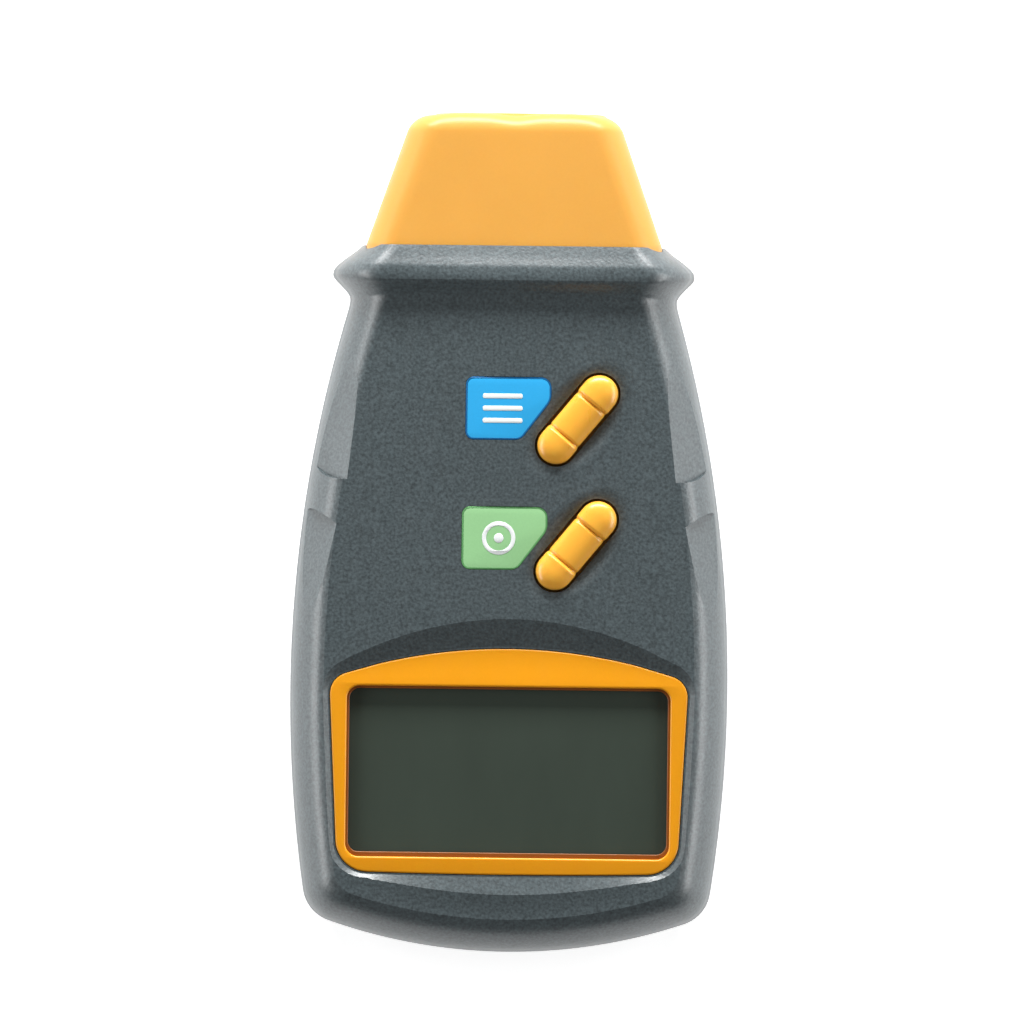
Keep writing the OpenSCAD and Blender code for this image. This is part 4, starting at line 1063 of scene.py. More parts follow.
@dataclass(frozen=True)
class NoseForm:
    """The tapered hood over the optics.

    A rim's profile is its radius beyond the port's and its height above the tip's flat. A bore's is
    its radius and how far it lies inside the rim's top.
    """

    form: HousingForm = field(default_factory=HousingForm)
    edge: float = 5.0
    wall: float = 2.0
    tip_drop: float = 2.0
    tip_lift: float = 1.6
    round: float = 2.5
    round_step: int = 6
    taper_steps: int = 40
    face_steps: int = 16
    hump: float = 0.45
    hump_w: float = 5.2
    end_wall: float = 2.6
    mouth: float = 3.0
    flange_t: float = 1.45
    flange_w: float = 1.2
    gap: float = 0.1
    over: float = 1.0
    port_x: float = 7.0
    laser_rim_r: float = 4.2
    rim: Sequence[tuple[float, float]] = (
        (0.0, -1.0), (1.9, -1.0), (1.8, 0.0), (1.3, 0.3375), (0.91, 0.45), (0.26, 0.45), (0.0, 0.315))
    lens_bore: Sequence[tuple[float, float]] = ((5.6, 1.6), (6.5, 0.8), (6.7, 0.0))
    laser_bore: Sequence[tuple[float, float]] = ((2.0, 2.4), (3.9, 1.2), (4.4, 0.0))

    @property
    def face_y(self) -> float:
        """The flat of the tip."""
        return self.form.tip_y - self.hump

    @property
    def low_y(self) -> float:
        """The inner end."""
        return self.form.seam_y - self.mouth - self.gap - self.flange_t

    @property
    def axis_z(self) -> float:
        """The height of both lines of sight."""
        return (self.form.nose_top + self.form.nose_bottom) / 2

    def section(self, y: float, grow: float, at: float | None = None, steps: int = 12) -> np.ndarray:
        """A closed cross-section.

        Args:
            y: the place whose size it has.
            grow: how far it is grown.
            at: where it stands, if not at y.
            steps: the steps of each corner.

        Returns:
            Its points.
        """
        f = self.form
        t = max(0.0, (y - f.seam_y) / (self.face_y - f.seam_y))
        w = mix(f.nose_base_w, f.nose_tip_w, t) / 2 + grow
        high, low = f.nose_top - self.tip_drop * t + grow, f.nose_bottom + self.tip_lift * t - grow
        r, quarter = self.edge + grow, math.pi / 2
        side = [(w - r + r * math.cos(a), z + r * math.sin(a)) for z, first, last in
                ((low + r, -quarter, 0), (high - r, 0, quarter)) for a in np.linspace(first, last, steps + 1)]
        side += [((w - r) * s, high + f.nose_crown * (1 - s * s)) for s in np.linspace(1, 0, self.face_steps)[1:]]
        full = side + [(-x, z) for x, z in reversed(side[:-1])]
        return np.array([(x, y if at is None else at, z) for x, z in full])


class NoseHood:
    """The amber hood with its two ports."""

    def __init__(self, nose: NoseForm) -> None:
        """Takes the hood's sizes."""
        self.nose = nose

    def plug(self, grow: float, high: float, low: float) -> bpy.types.Object:
        """A straight solid of the hood's base section.

        Args:
            grow: how far the section is grown.
            high, low: its ends along the length.

        Returns:
            The object.
        """
        y = self.nose.form.seam_y
        return skin("plug", [self.nose.section(y, grow, high), self.nose.section(y, grow, low)])

    def seat(self, body: bpy.types.Object) -> None:
        """Cuts the mouth and the flange's groove in a housing half."""
        n, y = self.nose, self.nose.form.seam_y
        carve(body, self.plug(n.gap, y + n.over, y - n.mouth - n.gap))
        carve(body, self.plug(n.flange_w + n.gap, y - n.mouth, n.low_y - n.gap))

    def outside(self) -> bpy.types.Object:
        """The closed hood with a rounded tip that swells round the ports."""
        n, f = self.nose, self.nose.form
        turns = [math.radians(a) for a in range(90, -1, -n.round_step)]
        ends = [n.face_y - n.round * (1 - math.sin(a)) for a in turns]
        tip = [n.section(y, -n.round * (1 - math.cos(a))) for y, a in zip(ends, turns)]
        for s in tip:
            near = [np.exp(-((s[:, 0] - x) / n.hump_w) ** 4) for x in (n.port_x, -n.port_x)]
            s[:, 1] += n.hump * np.maximum(*near) * ramp((s[:, 1] - n.face_y + n.round) / n.round)
        taper = [n.section(y, 0) for y in np.linspace(ends[-1], f.seam_y, n.taper_steps)[1:]]
        return skin("amber_hood", [*tip, *taper, n.section(f.seam_y, 0, n.low_y)])

    def build(self) -> bpy.types.Object:
        """Builds, bores and dresses the hood."""
        n, f = self.nose, self.nose.form
        ports = ((n.port_x, n.lens_bore[0][0], n.lens_bore), (-n.port_x, n.laser_rim_r, n.laser_bore))
        hood = self.outside()
        carve(hood, self.plug(n.flange_w, n.low_y + n.flange_t, n.low_y), Cut.UNION)
        for x, r, _ in ports:
            ring = [(r + out, high) for out, high in n.rim]
            carve(hood, revolved("rim", ring, (x, n.face_y, n.axis_z)), Cut.UNION)
        inner = [n.section(y, -n.wall) for y in (n.face_y - n.end_wall, f.seam_y)]
        carve(hood, skin("hood_inside", [*inner, n.section(f.seam_y, -n.wall, n.low_y - n.over)]))
        start = n.face_y - n.end_wall - n.over
        deep = f.tip_y + n.over - start
        for x, _, bore in ports:
            steps = [(0, 0), (bore[0][0], 0), *((r, deep - back) for r, back in bore), (0, deep)]
            carve(hood, revolved("bore", steps, (x, start, n.axis_z)))
        return finish_piece(hood, Finish.HOOD, Body.INSTRUMENT, ["nose_hood"], angle=40)


@dataclass(frozen=True)
class DisplayForm:
    """The outlines of the window, the bezel and the recess round them.

    Pairs hold a value for the top and one for the bottom: the greater a flatness, the flatter the bow.
    """

    window_y: float = -37.25
    window_w: float = 50.4
    window_h: float = 26.6
    window_r: float = 2.0
    brow: float = 5.95
    chin: float = 2.65
    side: tuple[float, float] = (2.8, 1.3)
    flatness: tuple[float, float] = (164, 1800)
    corner: tuple[float, float] = (3.4, 5.0)
    bow_end: tuple[float, float] = (0.72, 0.75)
    bow_steps: tuple[int, int] = (24, 16)
    corner_steps: int = 12
    bezel_z: float = 24.4
    bezel_t: float = 1.3
    bezel_bevel: float = 0.28
    floor_z: float = 25.6
    depth: float = 1.4
    margin: float = 0.35
    spread: float = 2.9
    rim: tuple[float, float] = (-13.35, -58.4)
    rim_flatness: tuple[float, float] = (156, 178)
    rim_corner: tuple[float, float] = (5.5, 7.0)
    rim_over: float = 1.7
    ledge_w: float = 1.65
    ledge_below: tuple[float, float] = (0.5, 0.8)
    seat_gap: float = 0.1
    seat_h: float = 4.0
    pane_z: float = 23.4
    pane_t: float = 1.0
    pane_bevel: float = 0.1
    pane_margin: float = 0.6
    pane_gap: float = 0.15
    lip: tuple[float, float] = (0.4, 0.75)
    lip_r: float = 1.6
    lip_z: tuple[float, float] = (0.5, 0.02)
    lip_out: float = 0.05
    lip_bevel: float = 0.12

    def shape(self, high: float, low: float, grow: float, flatness: tuple[float, float],
              r: tuple[float, float]) -> Outline:
        """A shield with a bowed top and bottom.

        Args:
            high, low: its highest and lowest y at the middle.
            grow: how far it reaches past the window's sides, besides the shield's own share.
            flatness, r: the bows' flatness and the corners' radius.

        Returns:
            Its points, always as many.
        """
        a, b = (self.window_w / 2 + grow + s for s in self.side)
        (high_end, low_end), (high_steps, low_steps), n = self.bow_end, self.bow_steps, self.corner_steps
        brow = [(a * s, high - (a * s) ** 2 / flatness[0]) for s in np.linspace(0, high_end, high_steps)]
        chin = [(b * s, low + (b * s) ** 2 / flatness[1]) for s in np.linspace(low_end, 0, low_steps)]
        p, q = (a, high - a * a / flatness[0]), (b, low + b * b / flatness[1])
        right = brow + fillet(brow[-1], p, q, r[0], n) + fillet(p, q, chin[0], r[1], n) + chin
        return [(-x, y) for x, y in right[1:-1]][::-1] + right

    def shield(self, grow: float) -> Outline:
        """The bezel's outline, grown by an amount."""
        high, low = self.window_y + self.window_h / 2 + self.brow, self.window_y - self.window_h / 2 - self.chin
        return self.shape(high + grow, low - grow, grow, self.flatness, tuple(r + grow for r in self.corner))

    def window(self, grow: float, steps: int = 12) -> Outline:
        """The window's outline, grown by an amount on each side, with steps in each corner."""
        w, h = self.window_w + 2 * grow, self.window_h + 2 * grow
        return rounded_box(w, h, self.window_r, steps, (0, self.window_y))

    def recess(self) -> bpy.types.Object:
        """The solid that cuts the recess, with sides that rise outwards past the face."""
        low = np.array(self.shield(self.margin))
        high = np.array(self.shape(*self.rim, self.margin + self.spread, self.rim_flatness, self.rim_corner))
        rings = [np.column_stack([low + (high - low) * q, np.full(len(low), self.floor_z + self.depth * q)])
                 for q in (0.0, self.rim_over)]
        return skin("recess", rings)


@dataclass(frozen=True)
class KeyForm:
    """A capsule key in a shallow dish."""

    x: float = 10.2
    y: float = 17.8
    turn: float = -39.5
    length: float = 16.3
    width: float = 5.85
    top_z: float = 28.2
    edge_z: float = 26.3
    crest: float = 0.6
    crown: float = 0.8
    flange_z: float = 23.95
    flange_t: float = 0.8
    flange_w: float = 0.9
    flange_bevel: float = 0.15
    sink: float = 0.2
    stem_z: float = 22.75
    stem_r: float = 2.0
    stem_in: float = 0.4
    gap: float = 0.4
    groove_y: float = 3.35
    groove_w: float = 0.26
    groove_depth: float = 0.45
    groove_pinch: float = 0.12
    waist: float = 0.035
    waist_drop: float = 0.1
    waist_fade: float = 0.4
    end_turns: tuple[float, float, int] = (86, 2, 22)
    straight_steps: int = 110
    end_steps: int = 14
    least: float = 0.001
    dish_len: float = 10.1
    dish_w: float = 5.3
    dish_depth: float = 0.85
    dish_bowl: float = 1.25
    dish_edge: float = 0.35

    def dish(self, x: np.ndarray, y: np.ndarray, face: np.ndarray) -> np.ndarray:
        """The face's height at places, with the dish in it."""
        a = math.radians(self.turn)
        dx, dy = x - self.x, y - self.y
        u, v = dx * math.cos(a) + dy * math.sin(a), -dx * math.sin(a) + dy * math.cos(a)
        rho = np.sqrt((u / self.dish_w) ** 2 + (v / self.dish_len) ** 2)
        return soft_min(face, face - self.dish_depth * self.dish_bowl * (1 - rho ** 3), self.dish_edge)

    def outline(self, grow: float) -> Outline:
        """The capsule's outline in place, grown by an amount."""
        w, h = self.width + 2 * grow, self.length + 2 * grow
        return turned(rounded_box(w, h, w / 2 - self.least, self.end_steps), self.turn, (self.x, self.y))

    def section(self, v: float, steps: int = 33) -> list[tuple[float, float]]:
        """The key's section at a place along it, as widths and heights."""
        r, straight = self.width / 2, (self.length - self.width) / 2
        half = math.sqrt(max(r * r - max(0.0, abs(v) - straight) ** 2, 0.01))
        flat = float(1 - ramp((abs(v) - self.groove_y + self.waist_fade / 2) / self.waist_fade))
        half *= 1 - self.waist * flat
        rise = (self.top_z - self.edge_z) * (half / r) ** self.crest * (1 - self.waist_drop * flat)
        groove = self.groove_depth * math.exp(-((abs(v) - self.groove_y) / self.groove_w) ** 2)
        pinch = 1 - groove * self.groove_pinch
        bulges = [(math.cos(a), math.sin(a) ** self.crown) for a in np.linspace(0, math.pi, steps)]
        low = self.flange_z - self.sink
        return [(half, low), *((half * c * pinch, self.edge_z + max(0.0, (rise - groove) * s)) for c, s in bulges),
                (-half, low)]


class Key:
    """One key with its flange and stem."""

    def __init__(self, form: KeyForm, body: Body, name: str, node: str) -> None:
        """Takes the key's sizes, body, name and CAD node."""
        self.form, self.body, self.name, self.node = form, body, name, node

    def build(self) -> bpy.types.Object:
        """Builds and dresses the key."""
        k = self.form
        r, straight = k.width / 2, (k.length - k.width) / 2
        ends = [straight + r * math.sin(math.radians(a)) for a in np.linspace(*k.end_turns)]
        places = [*ends, *np.linspace(straight, -straight, k.straight_steps), *(-e for e in reversed(ends))]
        sections = []
        for v in places:
            loop = k.section(float(v))
            flat = turned([(u, float(v)) for u, _ in loop], k.turn, (k.x, k.y))
            sections.append(np.array([(x, y, z) for (x, y), (_, z) in zip(flat, loop)]))
        key = skin(self.name, sections)
        low = k.flange_z - k.flange_t
        carve(key, flat_piece("flange", [k.outline(k.flange_w)], low, k.flange_z, k.flange_bevel), Cut.UNION)
        tall = k.flange_z - k.stem_in - k.stem_z
        carve(key, rod("stem", (k.x, k.y, k.stem_z), k.stem_r, tall, "z"), Cut.UNION)
        return finish_piece(key, Finish.KEY, self.body, [self.node], angle=50)


class DisplayGroup:
    """The bezel and the pane behind it."""

    def __init__(self, form: DisplayForm) -> None:
        """Takes the display's sizes."""
        self.form = form

    def build(self) -> None:
        """Builds and dresses the bezel, its shaded lip and the pane."""
        d = self.form
        high, low = d.lip
        inner = rounded_box(d.window_w - 2 * high, d.window_h - high - low, d.lip_r, 12,
                            (0, d.window_y + (low - high) / 2))
        pieces = (
            ("orange_bezel", [d.shield(0), d.window(0)], d.bezel_z, d.bezel_z + d.bezel_t, d.bezel_bevel,
             Finish.BEZEL, ["display_bezel"]),
            ("bezel_lip", [d.window(d.lip_out), inner], d.bezel_z + d.lip_z[1], d.bezel_z + d.lip_z[0], d.lip_bevel,
             Finish.SHADE, []),
            ("smoked_pane", [d.window(d.pane_margin, 8)], d.pane_z, d.pane_z + d.pane_t, d.pane_bevel,
             Finish.PANE, ["display_window"]),
        )
        for name, outlines, bottom, top, bevel, finish, nodes in pieces:
            finish_piece(flat_piece(name, outlines, bottom, top, bevel), finish, Body.INSTRUMENT, nodes, angle=50)


@dataclass(frozen=True)
class LabelForm:
    """A coloured patch beside a key, with one side cut at the key's slant, and its plain mark.

    Each of the rounds holds a corner's share of the corner radius and its steps.
    """

    x: float
    y: float
    w: float = 13.3
    h: float = 9.8
    slant: float = 4.7
    upright: float = 3.6
    corner: float = 1.3
    rounds: Sequence[tuple[float, int]] = ((1.0, 8), (1.3, 8), (2.2, 10), (1.5, 8), (1.0, 8))
    z: float = 26.61
    t: float = 0.3
    bevel: float = 0.05
    rim_w: float = 0.28
    mark_t: float = 0.03
    mark_bevel: float = 0.008
    mark_x: float = -0.9
    bar: tuple[float, float, float] = (6.2, 0.75, 0.3)
    bar_gap: float = 1.9
    ring: tuple[float, float] = (5.2, 3.9)
    dot: float = 1.5

    def outline(self, grow: float = 0.0) -> Outline:
        """The patch's outline, grown by an amount."""
        w, h, r = self.w / 2 + grow, self.h / 2 + grow, self.corner + grow
        run = math.hypot(self.h - self.upright, self.slant)
        nx, ny = (self.h - self.upright) / run, -self.slant / run
        reach = nx * self.w / 2 + ny * (self.h / 2 - self.upright) + grow
        corners = [(-w, h), (w, h), (w, (reach - nx * w) / ny), ((reach + ny * h) / nx, -h), (-w, -h)]
        points: Outline = []
        for i, (share, steps) in enumerate(self.rounds):
            points += fillet(corners[i - 1], corners[i], corners[(i + 1) % 5], r * share, steps)
        return [(px + self.x, py + self.y) for px, py in points]

    def disc(self, size: float, steps: int) -> Outline:
        """A round outline at the mark's place."""
        return rounded_box(size, size, size / 2 - 0.01, steps, (self.x + self.mark_x, self.y))

    def bars(self) -> list[list[Outline]]:
        """The outlines of three bars."""
        w, h, r = self.bar
        return [[rounded_box(w, h, r, 5, (self.x + self.mark_x, self.y + i * self.bar_gap))] for i in (1, 0, -1)]

    def target(self) -> list[list[Outline]]:
        """The outlines of a ring and a dot."""
        return [[self.disc(size, 16) for size in self.ring], [self.disc(self.dot, 8)]]


class Mark(Enum):
    """The plain marks that stand where a label had words."""

    BARS = "bars"
    TARGET = "target"


class LabelPatch:
    """One coloured patch with its printed rim and its plain mark."""

    def __init__(self, form: LabelForm, name: str, finish: Finish, edge: Finish, mark: Mark) -> None:
        """Takes the patch's sizes, name, two finishes and mark."""
        self.form, self.name, self.finish, self.edge, self.mark = form, name, finish, edge, mark

    def build(self) -> None:
        """Builds and dresses the patch, its rim and its mark."""
        f, name, top = self.form, self.name, self.form.z + self.form.t
        strokes = f.bars() if self.mark is Mark.BARS else f.target()
        patch = flat_piece(f"{name}_patch", [f.outline()], f.z, top, f.bevel)
        finish_piece(patch, self.finish, Body.INSTRUMENT, [f"{name}_label"], angle=50)
        rim = flat_piece(f"{name}_rim", [f.outline(), f.outline(-f.rim_w)], top - f.mark_t, top + f.mark_t / 2,
                         f.mark_bevel)
        finish_piece(rim, self.edge, Body.INSTRUMENT, angle=50)
        for i, outline in enumerate(strokes):
            mark = flat_piece(f"{name}_mark_{i}", outline, top, top + f.mark_t, f.mark_bevel)
            finish_piece(mark, Finish.WHITE, Body.INSTRUMENT, angle=50)


@dataclass
class FrontHousing:
    """The front half with its collar, recess, dishes, grips and openings."""

    form: HousingForm
    display: DisplayForm
    keys: Sequence[KeyForm]
    labels: Sequence[LabelForm]
    hood: NoseHood
    grips: Sequence[Grip] = (
        Grip((25.6, 8.15, 26.05), (30.66, 10.4, 20.4), (24.2, 24.3, 25.5)),
        Grip((27.2, 1.3, 25.95), (31.7, 3.4, 19.4), (31.8, -10.8, 22.9)),
    )
    dish_reach: float = 13.0
    dish_above: float = 2.0
    label_gap: float = 0.06
    label_seat_h: float = 2.0
    key_hole: tuple[float, float] = (-4.0, 3.0)
    window_hole: tuple[float, float] = (-2.0, 1.0)

    def shape(self, points: np.ndarray) -> np.ndarray:
        """Presses the dishes into the points."""
        p = points.copy()
        top = p[:, 2] > self.form.spring_z + self.dish_above
        x, y, z = p[top].T
        for key in self.keys:
            z = np.where(np.hypot(x - key.x, y - key.y) < self.dish_reach, key.dish(x, y, z), z)
        p[top, 2] = z
        return p

    def build(self) -> bpy.types.Object:
        """Builds, cuts and dresses the front half."""
        f, d, n = self.form, self.display, self.hood.nose
        shell = Shell(f, True)
        body = shell.build("grey_front", self.shape)
        for grip in self.grips:
            for side in (-1, 1):
                carve(body, grip.tool(side))
        carve(body, d.recess())
        carve(body, shell.cavity("front_inside", n.low_y - n.gap / 2))
        low, high = d.bezel_z - d.ledge_below[1], d.floor_z - d.ledge_below[0]
        carve(body, prism("ledge", d.shield(d.ledge_w), low, high), Cut.UNION)
        self.hood.seat(body)
        carve(body, prism("bezel_seat", d.shield(d.seat_gap), d.bezel_z, d.bezel_z + d.seat_h))
        hole = d.window(d.pane_margin + d.pane_gap, 8)
        carve(body, prism("window_hole", hole, *(d.bezel_z + z for z in self.window_hole)))
        for key in self.keys:
            carve(body, prism("key_hole", key.outline(key.gap), *(f.face_z + z for z in self.key_hole)))
        for label in self.labels:
            carve(body, prism("label_seat", label.outline(self.label_gap), label.z, label.z + self.label_seat_h))
        return finish_piece(body, Finish.HOUSING, Body.INSTRUMENT, ["front_housing"], angle=14)


@dataclass(frozen=True)
class BayForm:
    """The battery bay, its door and the scoop for the nail."""

    door_w: float = 53.2
    door_r: float = 0.5
    door_bevel: float = 0.2
    tail_y: float = -52.0
    head_y: float = -20.4
    t: float = 1.6
    sink: float = 0.1
    gap: float = 0.15
    ledge: float = 1.2
    wall_t: float = 1.4
    corner: float = 0.4
    high: float = 12.0
    past: float = 1.0
    rise: float = 0.1
    hook_x: float = 16.0
    hook_w: float = 8.0
    hook_t: float = 1.0
    hook_reach: float = 1.6
    hook_neck: float = 1.25
    hook_root: float = 0.4
    hook_play: float = 0.1
    hook_gap: float = 0.6
    hook_r: float = 0.2
    neck_r: float = 0.15
    nail_r: float = 9.0
    nail_depth: float = 1.1
    nail_out: float = 1.0
    nail_steps: int = 49
    ribs: int = 5
    rib_w: float = 16.0
    rib_in: float = 2.4
    rib_pitch: float = 1.5
    rib_depth: float = 0.5


@dataclass(frozen=True)
class ScrewForm:
    """A pan-head screw with a crossed recess, which points towards the front, and its bore."""

    places: Sequence[tuple[float, float]] = ((-19.5, 35.0), (19.5, 35.0), (-19.5, -57.0), (19.5, -57.0))
    seat_z: float = 9.0
    head_r: float = 2.1
    head_t: float = 1.4
    shank_r: float = 1.2
    length: float = 10.0
    slot_l: float = 2.94
    slot_w: float = 0.59
    slot_depth: float = 0.7
    boss_r: float = 3.4
    bore_r: float = 2.4
    bore_edge: float = 0.5
    hole_r: float = 1.4

    def bore(self, top: float) -> list[tuple[float, float]]:
        """The bore's profile from below the rear face to a top."""
        mouth = self.bore_r + self.bore_edge
        return [(0, -1), (mouth, -1), (mouth, 0), (self.bore_r, self.bore_edge), (self.bore_r, self.seat_z),
                (self.hole_r, self.seat_z), (self.hole_r, top), (0, top)]


class Layout(NodeSet):
    """A geometry node group for what repeats, with named inputs."""

    def __init__(self, name: str, inputs: Sequence[str]) -> None:
        """Starts a group of a name with number inputs."""
        super().__init__(bpy.data.node_groups.new(name, "GeometryNodeTree"))
        kinds = {"Places": "Geometry", **dict.fromkeys(inputs, "Float"), "Seed": "Int", "Finish": "Material"}
        for label, kind in kinds.items():
            self.tree.interface.new_socket(label, in_out="INPUT", socket_type=f"NodeSocket{kind}")
        self.tree.interface.new_socket("Pieces", in_out="OUTPUT", socket_type="NodeSocketGeometry")
        self.given = self.add("NodeGroupInput")

    def scaled(self, label: str, factor: float) -> Link:
        """One of the group's numbers times a factor."""
        return self.math("MULTIPLY", (self.given, label), factor)

    def cube(self, x: object, y: object, z: object) -> Link:
        """A box, from the links of its three sizes."""
        size = self.add("ShaderNodeCombineXYZ", X=x, Y=y, Z=z)
        return self.add("GeometryNodeMeshCube", Size=(size, 0)), 0

    def raised(self, shape: Link, rise: Link) -> Link:
        """A shape moved along z."""
        by = self.add("ShaderNodeCombineXYZ", Z=rise)
        return self.add("GeometryNodeTransform", Geometry=shape, Translation=(by, 0)), 0

    def boolean(self, operation: str, tools: Sequence[Link], **values: object) -> Link:
        """A mesh boolean's output, with the shapes that it joins or cuts away."""
        node = self.add("GeometryNodeMeshBoolean", operation=operation, **values)
        for tool in tools:
            self.put(node, 1, tool)
        return node, 0

    def close(self, piece: Link, spin: float) -> bpy.types.NodeTree:
        """Lays the piece out at every place and ends the group.

        Args:
            piece: the shape that is laid out.
            spin: the largest random turn about the z axis.

        Returns:
            The finished group.
        """
        turn = self.add("FunctionNodeRandomValue", {0: (0, 0, 0), 1: (0, 0, spin)}, data_type="FLOAT_VECTOR",
                        Seed=(self.given, "Seed"))
        laid = self.add("GeometryNodeInstanceOnPoints", Points=(self.given, "Places"), Instance=piece,
                        Rotation=(turn, 0))
        real = self.add("GeometryNodeRealizeInstances", Geometry=(laid, 0))
        done = self.add("GeometryNodeSetMaterial", Geometry=(real, 0), Material=(self.given, "Finish"))
        self.add("NodeGroupOutput", Pieces=(done, 0))
        return self.tree


def laid_out(name: str, tree: bpy.types.NodeTree, places: Sequence[Point], finish: Finish,
             sizes: dict[str, float]) -> bpy.types.Object:
    """A plain mesh object of a group's pieces at places.

    Args:
        name: the object's name.
        tree: the node group.
        places: where the pieces stand, in mm.
        finish: their finish.
        sizes: the group's number inputs, in mm.

    Returns:
        The object, without its modifier.
    """
    obj = mesh_object(name, np.array(places), [])
    modifier = obj.modifiers.new("layout", "NODES")
    modifier.node_group = tree
    values = {label: size * MM for label, size in sizes.items()} | {"Seed": 7, "Finish": Paints.get(finish)}
    for item in tree.interface.items_tree:
        if item.in_out == "INPUT" and item.name in values:
            modifier[item.identifier] = values[item.name]
    reshape(obj, 0.0005)
    return obj


def screw_tree() -> bpy.types.NodeTree:
    """The group that makes a set of pan-head screws with crossed recesses."""
    g = Layout("screw_set", ["Head Radius", "Head Height", "Shank Radius", "Length", "Slot Length", "Slot Width",
                             "Slot Depth"])
    given, top = g.given, g.scaled("Head Height", -1.0)
    head = g.add("GeometryNodeMeshCone", Radius_Top=(given, "Head Radius"), Depth=(given, "Head Height"),
                 Radius_Bottom=g.scaled("Head Radius", 0.8), Vertices=48)
    shank = g.add("GeometryNodeMeshCylinder", Radius=(given, "Shank Radius"), Depth=(given, "Length"), Vertices=32)
    solid = g.boolean("UNION", [g.raised((head, 0), top), g.raised((shank, 0), g.scaled("Length", 0.499))])
    cuts = [g.raised(g.cube((given, x), (given, y), g.scaled("Slot Depth", 2.0)), top)
            for x, y in (("Slot Length", "Slot Width"), ("Slot Width", "Slot Length"))]
    return g.close(g.boolean("DIFFERENCE", cuts, Mesh_1=solid), math.pi)


def groove_tree() -> bpy.types.NodeTree:
    """The group that makes a row of cutters for grooves."""
    g = Layout("groove_set", ["Width", "Pitch", "Depth"])
    return g.close(g.cube((g.given, "Width"), g.scaled("Pitch", 0.5), g.scaled("Depth", 2.0)), 0.0)


class Screws:
    """The screws that hold the housing together."""

    def __init__(self, form: ScrewForm) -> None:
        """Takes the screws' sizes and places."""
        self.form = form

    def build(self) -> None:
        """Builds and dresses the four screws."""
        s = self.form
        sizes = {"Head Radius": s.head_r, "Head Height": s.head_t, "Shank Radius": s.shank_r, "Length": s.length,
                 "Slot Length": s.slot_l, "Slot Width": s.slot_w, "Slot Depth": s.slot_depth}
        places = [(x, y, s.seat_z) for x, y in s.places]
        screws = laid_out("housing_screw_set", screw_tree(), places, Finish.STEEL, sizes)
        finish_piece(screws, Finish.STEEL, Body.INSTRUMENT, ["housing_screws"], angle=30)


class RearHousing:
    """The rear half with its bay, its bosses and the screw bores."""

    def __init__(self, form: HousingForm, bay: BayForm, hood: NoseHood, screw: ScrewForm) -> None:
        """Takes the sizes of the housing, the bay and the screws, and the hood that it holds."""
        self.form, self.bay, self.hood, self.screw = form, bay, hood, screw

    def box(self, name: str, half: float, low: tuple[float, float], high: tuple[float, float]) -> bpy.types.Object:
        """A block about the middle line, from half its width and its lowest and highest y and z."""
        outline = rounded_box(2 * half, high[0] - low[0], self.bay.corner, 5, (0, (low[0] + high[0]) / 2))
        return prism(name, outline, low[1], high[1])

    def build(self) -> bpy.types.Object:
        """Builds, cuts and dresses the rear half."""
        f, b, n, s = self.form, self.bay, self.hood.nose, self.screw
        shell, sill = Shell(f, False), f.wall / 2
        body = shell.build("grey_rear")
        carve(body, shell.cavity("rear_inside", n.low_y - n.gap / 2))
        for x, y in s.places:
            carve(body, rod("boss", (x, y, sill), s.boss_r, f.parting_z - sill, "z"), Cut.UNION)
        half, tail = b.door_w / 2 - b.ledge, b.tail_y + b.ledge
        hook_y = b.head_y + b.hook_reach + b.hook_gap
        walls = self.box("bay", half + b.wall_t, (tail - b.wall_t, sill), (hook_y + b.wall_t, b.high))
        carve(walls, self.box("bay_inside", half, (tail, 0.0), (hook_y, b.high + b.past)))
        carve(body, walls, Cut.UNION)
        self.hood.seat(body)
        carve(body, self.box("door_seat", b.door_w / 2 + b.gap, (b.tail_y - b.gap, -b.past),
                             (b.head_y + b.gap, b.sink + b.t + b.rise)))
        carve(body, self.box("bay_mouth", half, (tail, -b.past), (b.head_y + b.gap, 2 * f.wall)))
        turns = np.linspace(-math.pi / 2, math.pi / 2, b.nail_steps)[1:-1]
        arc = [(0.0, -b.nail_r), *((b.nail_r * math.cos(t), b.nail_r * math.sin(t)) for t in turns), (0.0, b.nail_r)]
        carve(body, revolved("scoop", arc, (0, b.tail_y - b.nail_out, b.nail_depth - b.nail_r), "z", 128))
        for x, y in s.places:
            carve(body, revolved("bore", s.bore(f.parting_z + 1), (x, y, 0), "z", 48))
        return finish_piece(body, Finish.HOUSING, Body.INSTRUMENT, ["rear_housing"], angle=24)


class BatteryDoor:
    """The door with its two hooks and the grooves for the thumb."""

    def __init__(self, bay: BayForm, wall: float) -> None:
        """Takes the bay's sizes and the wall that the hooks reach over."""
        self.bay, self.wall = bay, wall

    def build(self) -> bpy.types.Object:
        """Builds, cuts and dresses the door."""
        b = self.bay
        outline = rounded_box(b.door_w, b.head_y - b.tail_y, b.door_r, 6, (0, (b.head_y + b.tail_y) / 2))
        door = flat_piece("door_panel", [outline], b.sink, b.sink + b.t, b.door_bevel)
        over = b.sink + self.wall + b.hook_play
        reach = b.hook_neck + b.hook_reach
        parts = (("neck", b.hook_neck, b.neck_r, b.sink + b.hook_root), ("hook", reach, b.hook_r, over))
        for side in (-1, 1):
            for name, long, r, low in parts:
                at = (side * b.hook_x, b.head_y - b.hook_neck + long / 2)
                carve(door, prism(name, rounded_box(b.hook_w, long, r, 4, at), low, over + b.hook_t), Cut.UNION)
        places = [(0.0, b.tail_y + b.rib_in + (i + 0.25) * b.rib_pitch, b.sink) for i in range(b.ribs)]
        sizes = {"Width": b.rib_w, "Pitch": b.rib_pitch, "Depth": b.rib_depth}
        carve(door, laid_out("grooves", groove_tree(), places, Finish.HOUSING, sizes))
        return finish_piece(door, Finish.HOUSING, Body.DOOR, ["battery_door"], angle=40)


